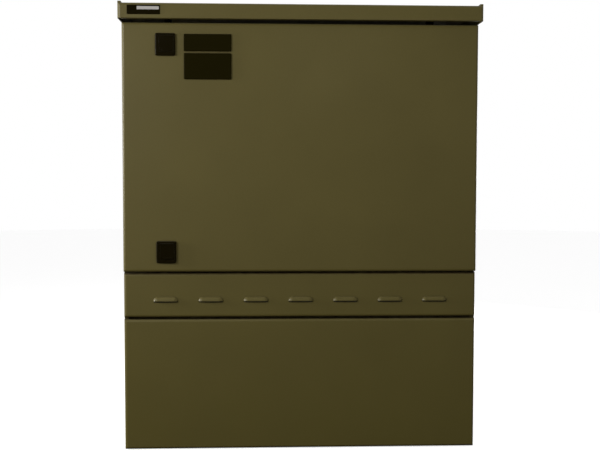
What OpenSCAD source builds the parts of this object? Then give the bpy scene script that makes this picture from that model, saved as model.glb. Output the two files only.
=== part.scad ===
// Roadside utility cabinet: a ventilated plinth, an equipment housing with one door, and a rain roof.
// Millimetres. The front faces -Y, Z is up, the origin is at the middle of the footprint on the ground.

/* [Housing] */
// Outside width of the cabinet
cabinet_w = 785; // [740:1:900]
// Depth from the lower front face to the rear face
cabinet_d = 320; // [300:1:420]
// Height of the housing above the vent panel
housing_h = 550; // [520:1:700]
// Thickness of the painted sheet
sheet_t = 2; // [1.6:0.1:2.4]
// Outside radius of the hidden folds
fold_r = 4; // [3:0.5:5]
// Width of the upright stiles of the door frame
stile_w = 48; // [46:1:54]
// Height of the door frame below the top plate
header_h = 16; // [14:1:18]
// Height of the sill lip above the vent panel
sill_h = 22; // [20:1:24]
// Width of the inward flanges
flange_w = 20; // [16:1:30]
// Width of the rear returns of the side panels
rear_return_w = 25; // [20:1:40]

/* [Plinth] */
// Height of the vent panel's top edge above the ground
plinth_h = 397; // [330:1:460]
// Height of the vent panel
vent_h = 98; // [90:1:120]
// Gap below the side panels and the plinth cover
ground_gap = 2; // [1:0.5:6]
// Joint between the plinth cover and the vent panel
cover_joint = 5; // [3:0.5:7]
// Depth of the folded edges of the lower panels
lower_pan_d = 19; // [17:0.5:21]
// Width of the side panels' corner returns behind the lower panels
corner_w = 9; // [7:0.5:11]
// Width of the lips that the lower panels are bolted by
panel_lip_w = 16; // [14:0.5:18]
// Radius of the panel bolts
panel_bolt_r = 3; // [2.5:0.5:4]
// Outside radius of the visible folds
edge_r = 6; // [4:0.5:7]
// Thickness of the base frame
base_t = 3; // [2.5:0.5:4]
// Height of the base frame's upright leg
base_h = 60; // [40:1:80]
// Width of the base frame's foot flange
base_flange_w = 45; // [40:1:55]
// Diameter of the anchor holes
anchor_d = 14; // [11:0.5:18]
// Distance from the base frame's sides to the anchor holes
anchor_inset = 25; // [20:1:28]
// Height of the cross rail behind the cover joint
cross_rail_h = 54; // [44:1:60]
// Distance from the plinth cover's top edge down to the cable clamp rail
clamp_rail_down = 54; // [35:1:90]

/* [Door] */
// Joint between the vent panel and the door
door_joint = 4; // [3:0.5:6]
// Distance from the lower front face to the door's face
door_proud = 7; // [5:0.5:9]
// Depth of the door's folded edges
door_d = 21; // [19:0.5:22]
// Width of the door gasket
gasket_w = 12; // [9:0.5:13]
// Thickness of the door gasket
gasket_t = 8; // [6:0.5:9]
// Distance of the door stiffeners from the middle
stiffener_x = 150; // [120:1:180]
// Width of the door stiffeners
stiffener_w = 50; // [30:1:60]
// Depth of the door stiffeners
stiffener_d = 8; // [6:0.5:12]
// Distance of the door's earth stud from the hinge stile
earth_stud_in = 40; // [30:1:80]
// Height of the door's earth stud above the sill rail
earth_stud_up = 25; // [18:1:60]

/* [Hinges] */
// Distance from the door's outer edge to the hinge axis
hinge_inset = 8; // [7.5:0.1:8.5]
// Distance from the door's face to the hinge axis
hinge_depth = 13; // [12:0.1:13.5]
// Distance of the hinges from the upper and lower edges of the door
hinge_end = 90; // [75:1:140]
// Height of one hinge
hinge_h = 60; // [50:1:80]
// Radius of the hinge pin
pin_r = 2.5; // [2:0.1:2.8]
// Running clearance around the pin
pin_clear = 0.06; // [0.03:0.01:0.1]
// Thickness of the hinge plates
hinge_t = 2.5; // [2:0.1:3]

/* [Locks] */
// Distance of the locks from the door's left edge
lock_in = 95.5; // [90:0.5:99]
// Distance of the upper lock from the door's upper edge
lock_down = 48; // [45:0.5:60]
// Distance of the lower lock from the door's lower edge
lock_up = 44; // [42:0.5:60]
// Width of a lock's face
lock_w = 43; // [41:0.5:48]
// Height of a lock's face
lock_h = 48; // [44:0.5:52]
// Radius of the lock's corners
lock_corner_r = 3; // [2:0.5:5]
// How far a lock stands proud of the door
lock_proud = 7; // [6.5:0.5:9]
// Radius of the lock's threaded barrel
barrel_r = 11; // [10:0.5:12]
// Radius of the lock's spindle
spindle_r = 8; // [7:0.5:8.5]
// Length of the cam from the spindle's axis
cam_len = 56; // [54:0.5:60]
// Width of the cam
cam_w = 20; // [16:0.5:22]
// Thickness of the dust flap
flap_t = 2.5; // [2:0.1:3]

/* [Plates] */
// Width of the two plates beside the upper lock
plate_w = 103; // [80:1:130]
// Thickness of the plates
plate_t = 4; // [2:0.5:6]
// Radius of the plates' corners
plate_corner_r = 1.8; // [1.2:0.2:4]
// Distance from the upper lock's axis to the plates
plate_gap = 40.5; // [32:0.5:60]
// Height of the upper plate
upper_plate_h = 37; // [24:1:42]
// Height of the lower plate
lower_plate_h = 56.5; // [30:0.5:70]
// Distance from the door's upper edge to the upper plate
plate_down = 25; // [15:1:40]
// Joint between the two plates
plate_joint = 4.5; // [3:0.5:12]

/* [Vents] */
// Distance between the middles of two louvres
louvre_pitch = 100; // [90:1:104]
// Length of a louvre along the panel
louvre_len = 56; // [44:1:60]
// Height of a louvre's hood
louvre_h = 9.5; // [9:0.5:15]
// How far a louvre's hood stands proud
louvre_proud = 6.5; // [5:0.5:7.5]
// Distance from the vent panel's lower edge to the louvre mouths
louvre_up = 36; // [26:1:50]
// Height of the open slot below a louvre's lip
louvre_slot = 3; // [1:0.5:4]
// Margin of the insect screen round the louvres
screen_margin = 12; // [8:0.5:14]
// Thickness of the insect screen
screen_t = 1; // [0.5:0.1:1.5]

/* [Roof] */
// Overhang in front of the door
roof_front = 25; // [15:1:40]
// Overhang behind the rear face
roof_rear = 10; // [6:1:30]
// Overhang at each side
roof_side = 5; // [3:0.5:15]
// Height of the roof's front flange
roof_h = 33; // [30:1:50]
// Gap between the door and the roof
roof_gap = 5; // [3:0.5:10]
// Fall of the roof from front to rear
roof_fall = 8; // [4:0.5:12]
// Radius of the roof's upright front corners
roof_corner_r = 7; // [5:0.5:10]
// Width of the raised side hems
hem_w = 7; // [5:0.5:10]
// Height of the raised side hems
hem_h = 4; // [2:0.5:5]
// Width of the inward lip under the front flange
roof_lip_w = 14; // [8:1:20]
// Width of the badge plate on the roof's front
badge_w = 71; // [40:1:90]
// Height of the badge plate
badge_h = 20; // [10:1:22]
// Distance of the badge plate from the housing's left side
badge_in = 16; // [10:1:60]

/* [Inside] */
// Width of the mounting plate
mount_w = 640; // [560:1:660]
// Distance of the mounting plate from the housing's floor and top
mount_margin = 40; // [35:1:60]
// Thickness of the mounting plate
mount_t = 2.5; // [2:0.5:4]
// Length of the standoffs behind the mounting plate
standoff_len = 35; // [25:1:45]
// Length of the device rails
rail_len = 560; // [400:1:560]
// Length of the earth bar
earth_len = 300; // [240:1:400]
// Height of the earth bar
earth_bar_h = 20; // [16:1:25]
// Thickness of the earth bar
earth_bar_t = 4; // [3:0.5:6]
// Length of the insulators behind the earth bar
insulator_len = 8; // [6:0.5:12]
// Radius of the earth bar's screws
earth_screw_r = 3; // [2.5:0.5:4]
// Depth of the floor plate's turned-down edges
floor_skirt = 20; // [16:1:24]
// Number of cable grommets
grommet_n = 6; // [4:1:6]
// Distance between two grommets
grommet_pitch = 70; // [60:1:75]

/* [Hidden] */
$fn = 48;

// Colours of the finishes
olive = [0.09, 0.075, 0.028];
black = [0.02, 0.02, 0.02];
zinc = [0.6, 0.6, 0.6];
rubber = [0.03, 0.03, 0.03];
brass = [0.7, 0.5, 0.2];

// Sizes across
hw = cabinet_w / 2;
inner_w = hw - sheet_t;
rim_x = hw - stile_w;
roof_hw = hw + roof_side;

// Planes along the depth
roof_d = roof_front + door_proud + cabinet_d + roof_rear;
badge_t = 1.5;
roof_y = (badge_t - roof_d) / 2;
roof_back = roof_y + roof_d;
door_y = roof_y + roof_front;
front_y = door_y + door_proud;
rear_y = front_y + cabinet_d;
seat_y = front_y + lower_pan_d;
corner_y = front_y + lower_pan_d / 2;
back_y = rear_y - 2 * sheet_t;
skin_y = door_y + sheet_t;
lip_y = skin_y + gasket_t + 0.3;

// Levels
split_z = plinth_h + door_joint / 2;
door_low = plinth_h + door_joint;
door_high = plinth_h + housing_h;
top_z = door_high - sheet_t;
rim_high = top_z - header_h;
rim_low = plinth_h + sill_h;
floor_z = plinth_h - 17;
vent_low = plinth_h - vent_h;
cover_top = vent_low - cover_joint;
clamp_rail_z = cover_top - clamp_rail_down;
roof_low = door_high + roof_gap;
roof_high = roof_low + roof_h;

// Roof slope and studs
roof_run = roof_d - edge_r;
roof_tilt = atan(roof_fall / roof_run);
stud_r = 4;
stud_x = hw * 0.77;
stud_ys = [seat_y + cabinet_d / 4, back_y - cabinet_d / 8];
nut_h = stud_r * 1.75;
nut_r = stud_r * 1.9;
stud_low = top_z - nut_h - stud_r * 1.5;

// Hinge axis
axis_x = hw - hinge_inset;
axis_y = door_y + hinge_depth;
knuckle_r = pin_r + 2.5;
arm_h = hinge_h / 3;
hinge_leg_x = rim_x + sheet_t / 2 + gasket_w / 2 + 2.5;
hinge_zs = [door_low + hinge_end, door_high - hinge_end];

// Locks, measured from the door's face
lock_x = -hw + lock_in;
lock_zs = [door_low + lock_up, door_high - lock_down];
cam_y = seat_y + sheet_t + 1 - door_y;
cam_t = 3;
cam_shank = 9;
window_left = lock_w / 2 - 8;
window_right = lock_w / 2 - 4;
window_low = lock_h / 2 - 7;
window_high = lock_h / 2 - 4;
flap_axis_r = 2;
flap_axis_z = window_high - flap_axis_r - 0.3;
flap_axis_y = -lock_proud + 1;
flap_pin_r = 1.2;

// Mounting plate and rails
mount_y = back_y - standoff_len - mount_t;
mount_low = floor_z + mount_margin + 10;
mount_high = top_z - mount_margin;
mount_mid = (mount_low + mount_high) / 2;
mount_span = mount_high - mount_low;
mount_hole_x = mount_w / 2 - 20;
mount_hole_zs = [mount_low + 20, mount_high - 20];
device_rail_zs = [mount_mid - mount_span / 8, mount_mid + mount_span / 4];
earth_y = mount_y - insulator_len - earth_bar_t;
earth_z = mount_low + mount_span / 7;
earth_hole_n = 8;
earth_end = 30;
earth_step = (earth_len - 2 * earth_end) / (earth_hole_n - 1);
earth_head_h = 4;
earth_head_r = earth_screw_r + 2.5;
insulator_r = 8;
insulator_in = 10;

// Cable entry in the floor
entry_w = grommet_pitch * grommet_n + 20;
grommet_r = grommet_pitch * 2 / 7;
entry_d = 3 * grommet_r;
entry_y = seat_y + cabinet_d * 0.34;
gland_side = 20;
gland_end = 15;

// Panel bolts, in pairs at each lip
panel_bolt_x = hw * 0.62;
cover_bolt_zs = [ground_gap + panel_lip_w / 2 + 1, cover_top - panel_lip_w / 2];
vent_bolt_zs = [vent_low + panel_lip_w / 2, plinth_h - panel_lip_w / 2];
panel_bolt_zs = concat(cover_bolt_zs, vent_bolt_zs);
bolt_head_h = panel_bolt_r * 4 / 3;
bolt_head_r = panel_bolt_r * 1.85;

// Louvre hoods are arcs of this radius, centred behind the panel's face
louvre_r = (louvre_h * louvre_h + louvre_proud * louvre_proud) / (2 * louvre_proud);
louvre_back = louvre_r - louvre_proud;
louvre_t = 1.5;
louvre_n = 7;
louvre_z = vent_low + louvre_up;

// A box between two opposite corners
module block(lo, hi) {
  translate(lo)
    cube(hi - lo);
}

// A rectangle whose corners are rounded where the flag is set, from the low corner round
module rounded_rect(lo, hi, r, flags) {
  corners = [lo, [hi.x, lo.y], hi, [lo.x, hi.y]];
  ways = [[1, 1], [-1, 1], [-1, -1], [1, -1]];
  difference() {
    translate(lo)
      square(hi - lo);
    for (i = [0:3])
      if (flags[i])
        difference() {
          translate(corners[i] + ways[i] * r / 2 - ways[i] * 0.5)
            square(r + 1, center = true);
          translate(corners[i] + ways[i] * r)
            circle(r);
        }
  }
}

// A prism that stands on its plan outline
module plan_prism(lo, hi, r, flags) {
  translate([0, 0, lo.z])
    linear_extrude(hi.z - lo.z)
      rounded_rect([lo.x, lo.y], [hi.x, hi.y], r, flags);
}

// A prism that runs along the width with its outline seen from the side
module side_prism(lo, hi, r, flags) {
  translate([lo.x, 0, 0])
    rotate([90, 0, 90])
      linear_extrude(hi.x - lo.x)
        rounded_rect([lo.y, lo.z], [hi.y, hi.z], r, flags);
}

// A block with rounded edges all round its front face
module soft_block(lo, hi, r) {
  intersection() {
    plan_prism(lo, hi, r, [1, 1, 0, 0]);
    side_prism(lo, hi, r, [1, 0, 0, 1]);
  }
}

// A block whose outline seen from the front has rounded corners too
module tablet(lo, hi, corner, r) {
  intersection() {
    soft_block(lo, hi, r);
    translate([0, hi.y, 0])
      rotate([90, 0, 0])
        linear_extrude(hi.y - lo.y)
          rounded_rect([lo.x, lo.z], [hi.x, hi.z], corner, [1, 1, 1, 1]);
  }
}

// A folded pan, open at the rear
module pan(lo, hi) {
  difference() {
    soft_block(lo, hi, edge_r);
    soft_block(lo + [1, 1, 1] * sheet_t, hi + [-sheet_t, 1, -sheet_t], edge_r - sheet_t);
  }
}

// A cylinder along the depth
module bar_y(x, y0, y1, z, r) {
  translate([x, y1, z])
    rotate([90, 0, 0])
      cylinder(h = y1 - y0, r = r);
}

// A hexagonal nut along the depth
module nut_y(x, y0, y1, z, r, bore) {
  difference() {
    translate([x, y1, z])
      rotate([90, 0, 0])
        cylinder(h = y1 - y0, r = r, $fn = 6);
    bar_y(x, y0 - 1, y1 + 1, z, bore);
  }
}

// Holes for the panel bolts
module panel_bolt_holes(zs) {
  for (x = [-panel_bolt_x, panel_bolt_x])
    for (z = zs)
      bar_y(x, seat_y - 2 * sheet_t, seat_y + 2 * base_t, z, panel_bolt_r + 0.3);
}

// A lower panel: a pan with a bolting lip along its upper and lower edges
module lower_panel(low, high, bolt_zs) {
  lip_x = hw - 2 * edge_r;
  difference() {
    union() {
      pan([-hw, front_y, low], [hw, seat_y, high]);
      block([-lip_x, seat_y - sheet_t, low + sheet_t / 2], [lip_x, seat_y, low + panel_lip_w]);
      block([-lip_x, seat_y - sheet_t, high - panel_lip_w], [lip_x, seat_y, high - sheet_t / 2]);
    }
    both_sides()
      block([hw - corner_w - 0.5, corner_y, low - 1], [hw + 1, seat_y + 1, high + 1]);
    panel_bolt_holes(bolt_zs);
  }
}

module both_sides() {
  children();
  mirror([1, 0, 0])
    children();
}

module base_frame() {
  out_x = inner_w;
  in_x = inner_w - base_flange_w;
  color(zinc)
    difference() {
      block([-out_x, seat_y, 0], [out_x, back_y, base_h]);
      block([-out_x + base_t, seat_y + base_t, base_t], [out_x - base_t, back_y - base_t, base_h + 1]);
      block([-in_x, seat_y + base_flange_w, -1], [in_x, back_y - base_flange_w, base_t + 1]);
      for (x = [-1, 1] * (out_x - anchor_inset))
        for (y = [seat_y + anchor_inset, back_y - anchor_inset])
          translate([x, y, -1])
            cylinder(h = base_t + 2, r = anchor_d / 2);
      panel_bolt_holes(cover_bolt_zs);
    }
}

// The side panel's section behind the door: wall, stile and rear return
module stile_section() {
  difference() {
    rounded_rect([rim_x, seat_y], [hw, rear_y], fold_r, [0, 1, 1, 0]);
    rounded_rect([rim_x - 1, seat_y + sheet_t], [inner_w, rear_y - sheet_t], fold_r - sheet_t, [0, 1, 1, 0]);
    translate([rim_x - 1, rear_y - sheet_t - 1])
      square([stile_w - rear_return_w + 1, sheet_t + 2]);
  }
}

// The side panel's section beside the lower panels: wall, corner return and rear return
module wall_section() {
  difference() {
    rounded_rect([rim_x, corner_y], [hw, rear_y], fold_r, [0, 0, 1, 0]);
    rounded_rect([rim_x - 1, corner_y + sheet_t], [inner_w, rear_y - sheet_t],
                 fold_r - sheet_t, [0, 0, 1, 0]);
    translate([rim_x - 1, corner_y - 1])
      square([stile_w - corner_w + 1, sheet_t + 2]);
    translate([rim_x - 1, rear_y - sheet_t - 1])
      square([stile_w - rear_return_w + 1, sheet_t + 2]);
  }
}

module side_panel() {
  color(olive) {
    translate([0, 0, ground_gap])
      linear_extrude(split_z - ground_gap)
        wall_section();
    translate([0, 0, split_z])
      linear_extrude(top_z - split_z)
        stile_section();
    block([rim_x, lip_y, rim_low - sheet_t], [rim_x + sheet_t, seat_y + sheet_t / 2, rim_high + sheet_t]);
    block([inner_w - flange_w, seat_y + fold_r + 1, top_z - sheet_t], [hw - sheet_t / 2, back_y - 1, top_z]);
  }
}

module left_side_panel() {
  mirror([1, 0, 0])
    side_panel();
}

module right_side_panel() {
  side_panel();
}

module rear_panel() {
  flange_x = inner_w - flange_w - 1;
  color(olive) {
    block([-hw + fold_r, back_y, ground_gap], [hw - fold_r, rear_y - sheet_t, top_z]);
    block([-flange_x, back_y - flange_w, top_z - sheet_t], [flange_x, back_y + sheet_t / 2, top_z]);
  }
}

module top_plate() {
  color(olive)
    difference() {
      block([-hw, seat_y, top_z], [hw, rear_y, door_high]);
      for (x = [-stud_x, stud_x])
        for (y = stud_ys)
          translate([x, y, top_z - 1])
            cylinder(h = sheet_t + 2, r = stud_r + 0.5);
    }
}

module header_rail() {
  color(olive) {
    block([-rim_x, seat_y, rim_high], [rim_x, seat_y + sheet_t, top_z]);
    block([-rim_x, lip_y, rim_high], [rim_x, seat_y + sheet_t, rim_high + sheet_t]);
    block([-rim_x, seat_y, top_z - sheet_t], [rim_x, seat_y + flange_w, top_z]);
  }
}

module sill_rail() {
  web_low = floor_z - 2 * sheet_t;
  color(olive)
    difference() {
      union() {
        block([-rim_x, seat_y, web_low], [rim_x, seat_y + sheet_t, rim_low]);
        block([-inner_w, seat_y, web_low], [inner_w, seat_y + sheet_t, split_z]);
        block([-rim_x, lip_y, rim_low - sheet_t], [rim_x, seat_y + sheet_t, rim_low]);
        block([-inner_w, seat_y, web_low], [inner_w, seat_y + flange_w, web_low + sheet_t]);
      }
      panel_bolt_holes(vent_bolt_zs);
    }
}

module cross_rail() {
  mid = cover_top + cover_joint / 2;
  low = mid - cross_rail_h / 2;
  high = mid + cross_rail_h / 2;
  color(olive)
    difference() {
      block([-inner_w, seat_y, low], [inner_w, seat_y + flange_w, high]);
      block([-hw, seat_y + sheet_t, low + sheet_t], [hw, seat_y + flange_w + 1, high - sheet_t]);
      panel_bolt_holes(panel_bolt_zs);
    }
}

// A channel that cable clamps hook into, open to the front with inturned lips
module clamp_rail() {
  clamp_d = 22;
  clamp_h = 30;
  clamp_slot = 16;
  y0 = back_y - clamp_d;
  color(zinc)
    difference() {
      block([-inner_w, y0, clamp_rail_z], [inner_w, back_y, clamp_rail_z + clamp_h]);
      block([-hw, y0 + sheet_t, clamp_rail_z + sheet_t],
            [hw, back_y - sheet_t, clamp_rail_z + clamp_h - sheet_t]);
      block([-hw, y0 - 1, clamp_rail_z + (clamp_h - clamp_slot) / 2],
            [hw, y0 + sheet_t + 1, clamp_rail_z + (clamp_h + clamp_slot) / 2]);
    }
}

module floor_plate() {
  y0 = seat_y + sheet_t;
  color(zinc)
    difference() {
      block([-inner_w, y0, floor_z - floor_skirt], [inner_w, back_y, floor_z]);
      block([-inner_w + sheet_t, y0 - 1, floor_z - floor_skirt - 1],
            [inner_w - sheet_t, back_y - sheet_t, floor_z - sheet_t]);
      block([-hw, y0 - 1, floor_z - floor_skirt - 1], [hw, seat_y + flange_w + 1, floor_z - sheet_t]);
      block([-entry_w / 2, entry_y - entry_d / 2, floor_z - sheet_t - 1],
            [entry_w / 2, entry_y + entry_d / 2, floor_z + 1]);
    }
}

function grommet_x(i) = (i - (grommet_n - 1) / 2) * grommet_pitch;

module gland_plate() {
  color(zinc)
    difference() {
      block([-entry_w / 2 - gland_side, entry_y - entry_d / 2 - gland_end, floor_z],
            [entry_w / 2 + gland_side, entry_y + entry_d / 2 + gland_end, floor_z + sheet_t]);
      for (i = [0:grommet_n - 1])
        translate([grommet_x(i), entry_y, floor_z - 1])
          cylinder(h = sheet_t + 2, r = grommet_r);
    }
}

module cable_grommets() {
  color(rubber)
    for (i = [0:grommet_n - 1])
      translate([grommet_x(i), entry_y, 0]) {
        translate([0, 0, floor_z - 3])
          cylinder(h = 3, r = grommet_r + 3);
        translate([0, 0, floor_z - 1])
          cylinder(h = sheet_t + 2, r = grommet_r - 0.1);
        translate([0, 0, floor_z + sheet_t])
          cylinder(h = 3, r = grommet_r + 3);
      }
}

// The hood's outer or inner form: an arc in section, rounded at both ends
module hood_form(r, low, deep) {
  half = louvre_len / 2 - louvre_h;
  translate([0, front_y + louvre_back, louvre_z])
    intersection() {
      union() {
        translate([-half, 0, 0])
          rotate([0, 90, 0])
            cylinder(h = 2 * half, r = r);
        for (x = [-half, half])
          translate([x, 0, 0])
            sphere(r);
      }
      block([-louvre_len, -louvre_r - 1, low], [louvre_len, -louvre_back + deep, louvre_r + 1]);
    }
}

module louvre_xs() {
  for (i = [0:louvre_n - 1])
    translate([(i - (louvre_n - 1) / 2) * louvre_pitch, 0, 0])
      children();
}

module vent_panel() {
  color(olive)
    difference() {
      union() {
        lower_panel(vent_low, plinth_h, vent_bolt_zs);
        louvre_xs()
          hood_form(louvre_r, 0, sheet_t / 2);
      }
      louvre_xs()
        hood_form(louvre_r - louvre_t, -louvre_slot, sheet_t + 1);
    }
}

module insect_screen() {
  half = (louvre_n - 1) / 2 * louvre_pitch + louvre_len / 2 + screen_margin;
  y0 = front_y + sheet_t;
  color(zinc)
    block([-half, y0, louvre_z - screen_margin], [half, y0 + screen_t, louvre_z + louvre_h + screen_margin]);
}

module plinth_cover() {
  color(olive)
    lower_panel(ground_gap, cover_top, cover_bolt_zs);
}

module panel_bolts() {
  color(zinc)
    for (x = [-panel_bolt_x, panel_bolt_x])
      for (z = panel_bolt_zs) {
        web_y = seat_y + (z < base_h ? base_t : sheet_t);
        bar_y(x, seat_y - sheet_t - 2 * bolt_head_h, web_y + 1, z, panel_bolt_r);
        translate([x, web_y + bolt_head_h, z])
          rotate([90, 0, 0])
            cylinder(h = bolt_head_h, r = bolt_head_r, $fn = 6);
      }
}

module panel_nuts() {
  y1 = seat_y - sheet_t;
  color(zinc)
    for (x = [-panel_bolt_x, panel_bolt_x])
      for (z = panel_bolt_zs)
        nut_y(x, y1 - 1.3 * bolt_head_h, y1, z, bolt_head_r, panel_bolt_r + 0.05);
}

// The space above the roof's slope, lowered by an amount
module above_slope(down) {
  translate([0, roof_y + edge_r, roof_high - down])
    rotate([-roof_tilt, 0, 0])
      block([-2 * hw, 0, 0], [2 * hw, 2 * roof_d, 3 * roof_h]);
}

module roof_form(lo, hi, corner, edge, down) {
  difference() {
    intersection() {
      plan_prism(lo, hi, corner, [1, 1, 0, 0]);
      side_prism(lo, hi, edge, [0, 0, 0, 1]);
    }
    above_slope(down);
  }
}

module roof_hem() {
  intersection() {
    plan_prism([-roof_hw, roof_y, roof_low], [roof_hw, roof_back, roof_high + roof_d],
               roof_corner_r, [1, 1, 0, 0]);
    translate([0, roof_y + edge_r, roof_high])
      rotate([-roof_tilt, 0, 0])
        block([roof_hw - hem_w, 0, -sheet_t / 2], [roof_hw + 1, 2 * roof_d, hem_h]);
  }
}

module rain_roof() {
  lo = [-roof_hw, roof_y, roof_low];
  hi = [roof_hw, roof_back, roof_high];
  t = sheet_t;
  color(olive) {
    difference() {
      roof_form(lo, hi, roof_corner_r, edge_r, 0);
      roof_form(lo + [t, t, -1], hi - [t, t, t], roof_corner_r - t, edge_r - t, t);
    }
    block([-roof_hw + roof_corner_r, roof_y + t / 2, roof_low],
          [roof_hw - roof_corner_r, roof_y + roof_lip_w, roof_low + t]);
    both_sides()
      roof_hem();
    for (x = [-stud_x, stud_x])
      for (y = stud_ys)
        difference() {
          translate([x, y, stud_low])
            cylinder(h = roof_high - stud_low, r = stud_r);
          above_slope(t / 2);
        }
  }
}

module roof_spacers() {
  color(black)
    for (x = [-stud_x, stud_x])
      for (y = stud_ys)
        difference() {
          translate([x, y, door_high])
            cylinder(h = roof_high - door_high, r = stud_r * 2.25);
          translate([x, y, door_high - 1])
            cylinder(h = roof_high - door_high + 2, r = stud_r + 0.3);
          above_slope(sheet_t);
        }
}

module roof_nuts() {
  color(zinc)
    for (x = [-stud_x, stud_x])
      for (y = stud_ys)
        translate([x, y, top_z - nut_h])
          difference() {
            cylinder(h = nut_h, r = nut_r, $fn = 6);
            translate([0, 0, -1])
              cylinder(h = nut_h + 2, r = stud_r + 0.05);
          }
}

module roof_badge() {
  x0 = -hw + badge_in;
  mid = (roof_low + roof_high) / 2 + 1;
  color(black)
    tablet([x0, roof_y - badge_t, mid - badge_h / 2], [x0 + badge_w, roof_y, mid + badge_h / 2], 2, 0.8);
}

module mounting_plate() {
  color(zinc)
    difference() {
      block([-mount_w / 2, mount_y, mount_low], [mount_w / 2, mount_y + mount_t, mount_high]);
      for (x = [-mount_hole_x, mount_hole_x])
        for (z = mount_hole_zs)
          bar_y(x, mount_y - 1, mount_y + mount_t + 1, z, 4.5);
    }
}

// Standoffs with a threaded stud at the front
module mount_standoffs() {
  color(zinc)
    for (x = [-mount_hole_x, mount_hole_x])
      for (z = mount_hole_zs) {
        bar_y(x, mount_y + mount_t, back_y, z, 8);
        bar_y(x, mount_y - 8, mount_y + mount_t + 1, z, 4);
      }
}

module mount_nuts() {
  color(zinc)
    for (x = [-mount_hole_x, mount_hole_x])
      for (z = mount_hole_zs)
        nut_y(x, mount_y - 6.5, mount_y, z, 7.5, 4.05);
}

// A top-hat rail, 35 wide and 7.5 deep
module device_rail(z) {
  rail_w = 35;
  rail_d = 7.5;
  rail_in = 27;
  rail_t = 1;
  color(zinc)
    difference() {
      block([-rail_len / 2, mount_y - rail_d, z - rail_w / 2], [rail_len / 2, mount_y, z + rail_w / 2]);
      block([-rail_len, mount_y - rail_d - 1, z - rail_in / 2 + rail_t],
            [rail_len, mount_y - rail_t, z + rail_in / 2 - rail_t]);
      for (s = [-1, 1])
        translate([0, 0, z + s * (rail_in / 2 + rail_w / 2) / 2])
          block([-rail_len, mount_y - rail_d + rail_t, -(rail_w - rail_in) / 4 - (s < 0 ? 1 : 0)],
                [rail_len, mount_y + 1, (rail_w - rail_in) / 4 + (s > 0 ? 1 : 0)]);
    }
}

module upper_device_rail() {
  device_rail(device_rail_zs[1]);
}

module lower_device_rail() {
  device_rail(device_rail_zs[0]);
}

function earth_x(i) = (i - (earth_hole_n - 1) / 2) * earth_step;

module earth_bar() {
  color(brass)
    difference() {
      block([-earth_len / 2, earth_y, earth_z - earth_bar_h / 2],
            [earth_len / 2, earth_y + earth_bar_t, earth_z + earth_bar_h / 2]);
      for (i = [0:earth_hole_n - 1])
        bar_y(earth_x(i), earth_y - 1, earth_y + earth_bar_t + 1, earth_z, earth_screw_r + 0.05);
    }
}

module earth_insulators() {
  color(black)
    for (x = [-1, 1] * (earth_len / 2 - insulator_in))
      bar_y(x, earth_y + earth_bar_t, mount_y, earth_z, insulator_r);
}

module earth_screws() {
  color(zinc)
    for (i = [0:earth_hole_n - 1]) {
      bar_y(earth_x(i), earth_y, earth_y + earth_bar_t + 2, earth_z, earth_screw_r);
      translate([earth_x(i), earth_y, earth_z])
        rotate([90, 0, 0])
          cylinder(h = earth_head_h, r = earth_head_r, $fn = 6);
    }
}

// The hinge's fixed half: a foot on the stile and an arm bent clear of the door's edge
module hinge_arm(z) {
  color(zinc)
    translate([0, 0, z])
      difference() {
        union() {
          block([hinge_leg_x, seat_y - hinge_t, -hinge_h / 2], [axis_x - 9.5, seat_y, hinge_h / 2]);
          block([hinge_leg_x, axis_y - 4, -arm_h / 2], [hinge_leg_x + hinge_t, seat_y, arm_h / 2]);
          block([hinge_leg_x, axis_y - 4, -arm_h / 2], [axis_x, axis_y - 4 + hinge_t, arm_h / 2]);
          translate([axis_x, axis_y, -arm_h / 2])
            cylinder(h = arm_h, r = knuckle_r);
        }
        translate([axis_x, axis_y, -hinge_h])
          cylinder(h = 2 * hinge_h, r = pin_r + 0.02);
      }
}

module hinge_pin(z) {
  color(zinc)
    translate([axis_x, axis_y, z - hinge_h / 2]) {
      cylinder(h = hinge_h + 0.4, r = pin_r);
      translate([0, 0, hinge_h + 0.3])
        cylinder(h = 2, r = knuckle_r - 0.8);
    }
}

// The hinge's moving half: a plate on the door and two knuckles
module hinge_leaf(z) {
  ear_h = (hinge_h - arm_h) / 2 - 0.3;
  plate_x = hw - edge_r - 0.5;
  color(zinc)
    translate([0, 0, z])
      difference() {
        union() {
          block([hinge_leg_x + 3, skin_y, -hinge_h / 2], [plate_x, skin_y + hinge_t, hinge_h / 2]);
          for (z0 = [-hinge_h / 2, hinge_h / 2 - ear_h]) {
            block([axis_x - 4, skin_y, z0], [axis_x - 4 + hinge_t, axis_y, z0 + ear_h]);
            translate([axis_x, axis_y, z0])
              cylinder(h = ear_h, r = knuckle_r);
          }
        }
        translate([axis_x, axis_y, -hinge_h])
          cylinder(h = 2 * hinge_h, r = pin_r + pin_clear);
      }
}

module upper_hinge_arm() {
  hinge_arm(hinge_zs[1]);
}

module lower_hinge_arm() {
  hinge_arm(hinge_zs[0]);
}

module upper_hinge_pin() {
  hinge_pin(hinge_zs[1]);
}

module lower_hinge_pin() {
  hinge_pin(hinge_zs[0]);
}

module upper_hinge_leaf() {
  hinge_leaf(hinge_zs[1]);
}

module lower_hinge_leaf() {
  hinge_leaf(hinge_zs[0]);
}

module door_panel() {
  color(olive)
    difference() {
      pan([-hw, door_y, door_low], [hw, door_y + door_d, door_high]);
      for (z = lock_zs)
        bar_y(lock_x, door_y - 1, skin_y + 1, z, barrel_r + 0.25);
    }
}

module door_gasket() {
  mid_x = rim_x + sheet_t / 2;
  low = rim_low - sheet_t / 2;
  high = rim_high + sheet_t / 2;
  g = gasket_w / 2;
  color(rubber)
    difference() {
      block([-mid_x - g, skin_y, low - g], [mid_x + g, skin_y + gasket_t, high + g]);
      block([-mid_x + g, skin_y - 1, low + g], [mid_x - g, skin_y + gasket_t + 1, high - g]);
    }
}

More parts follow.
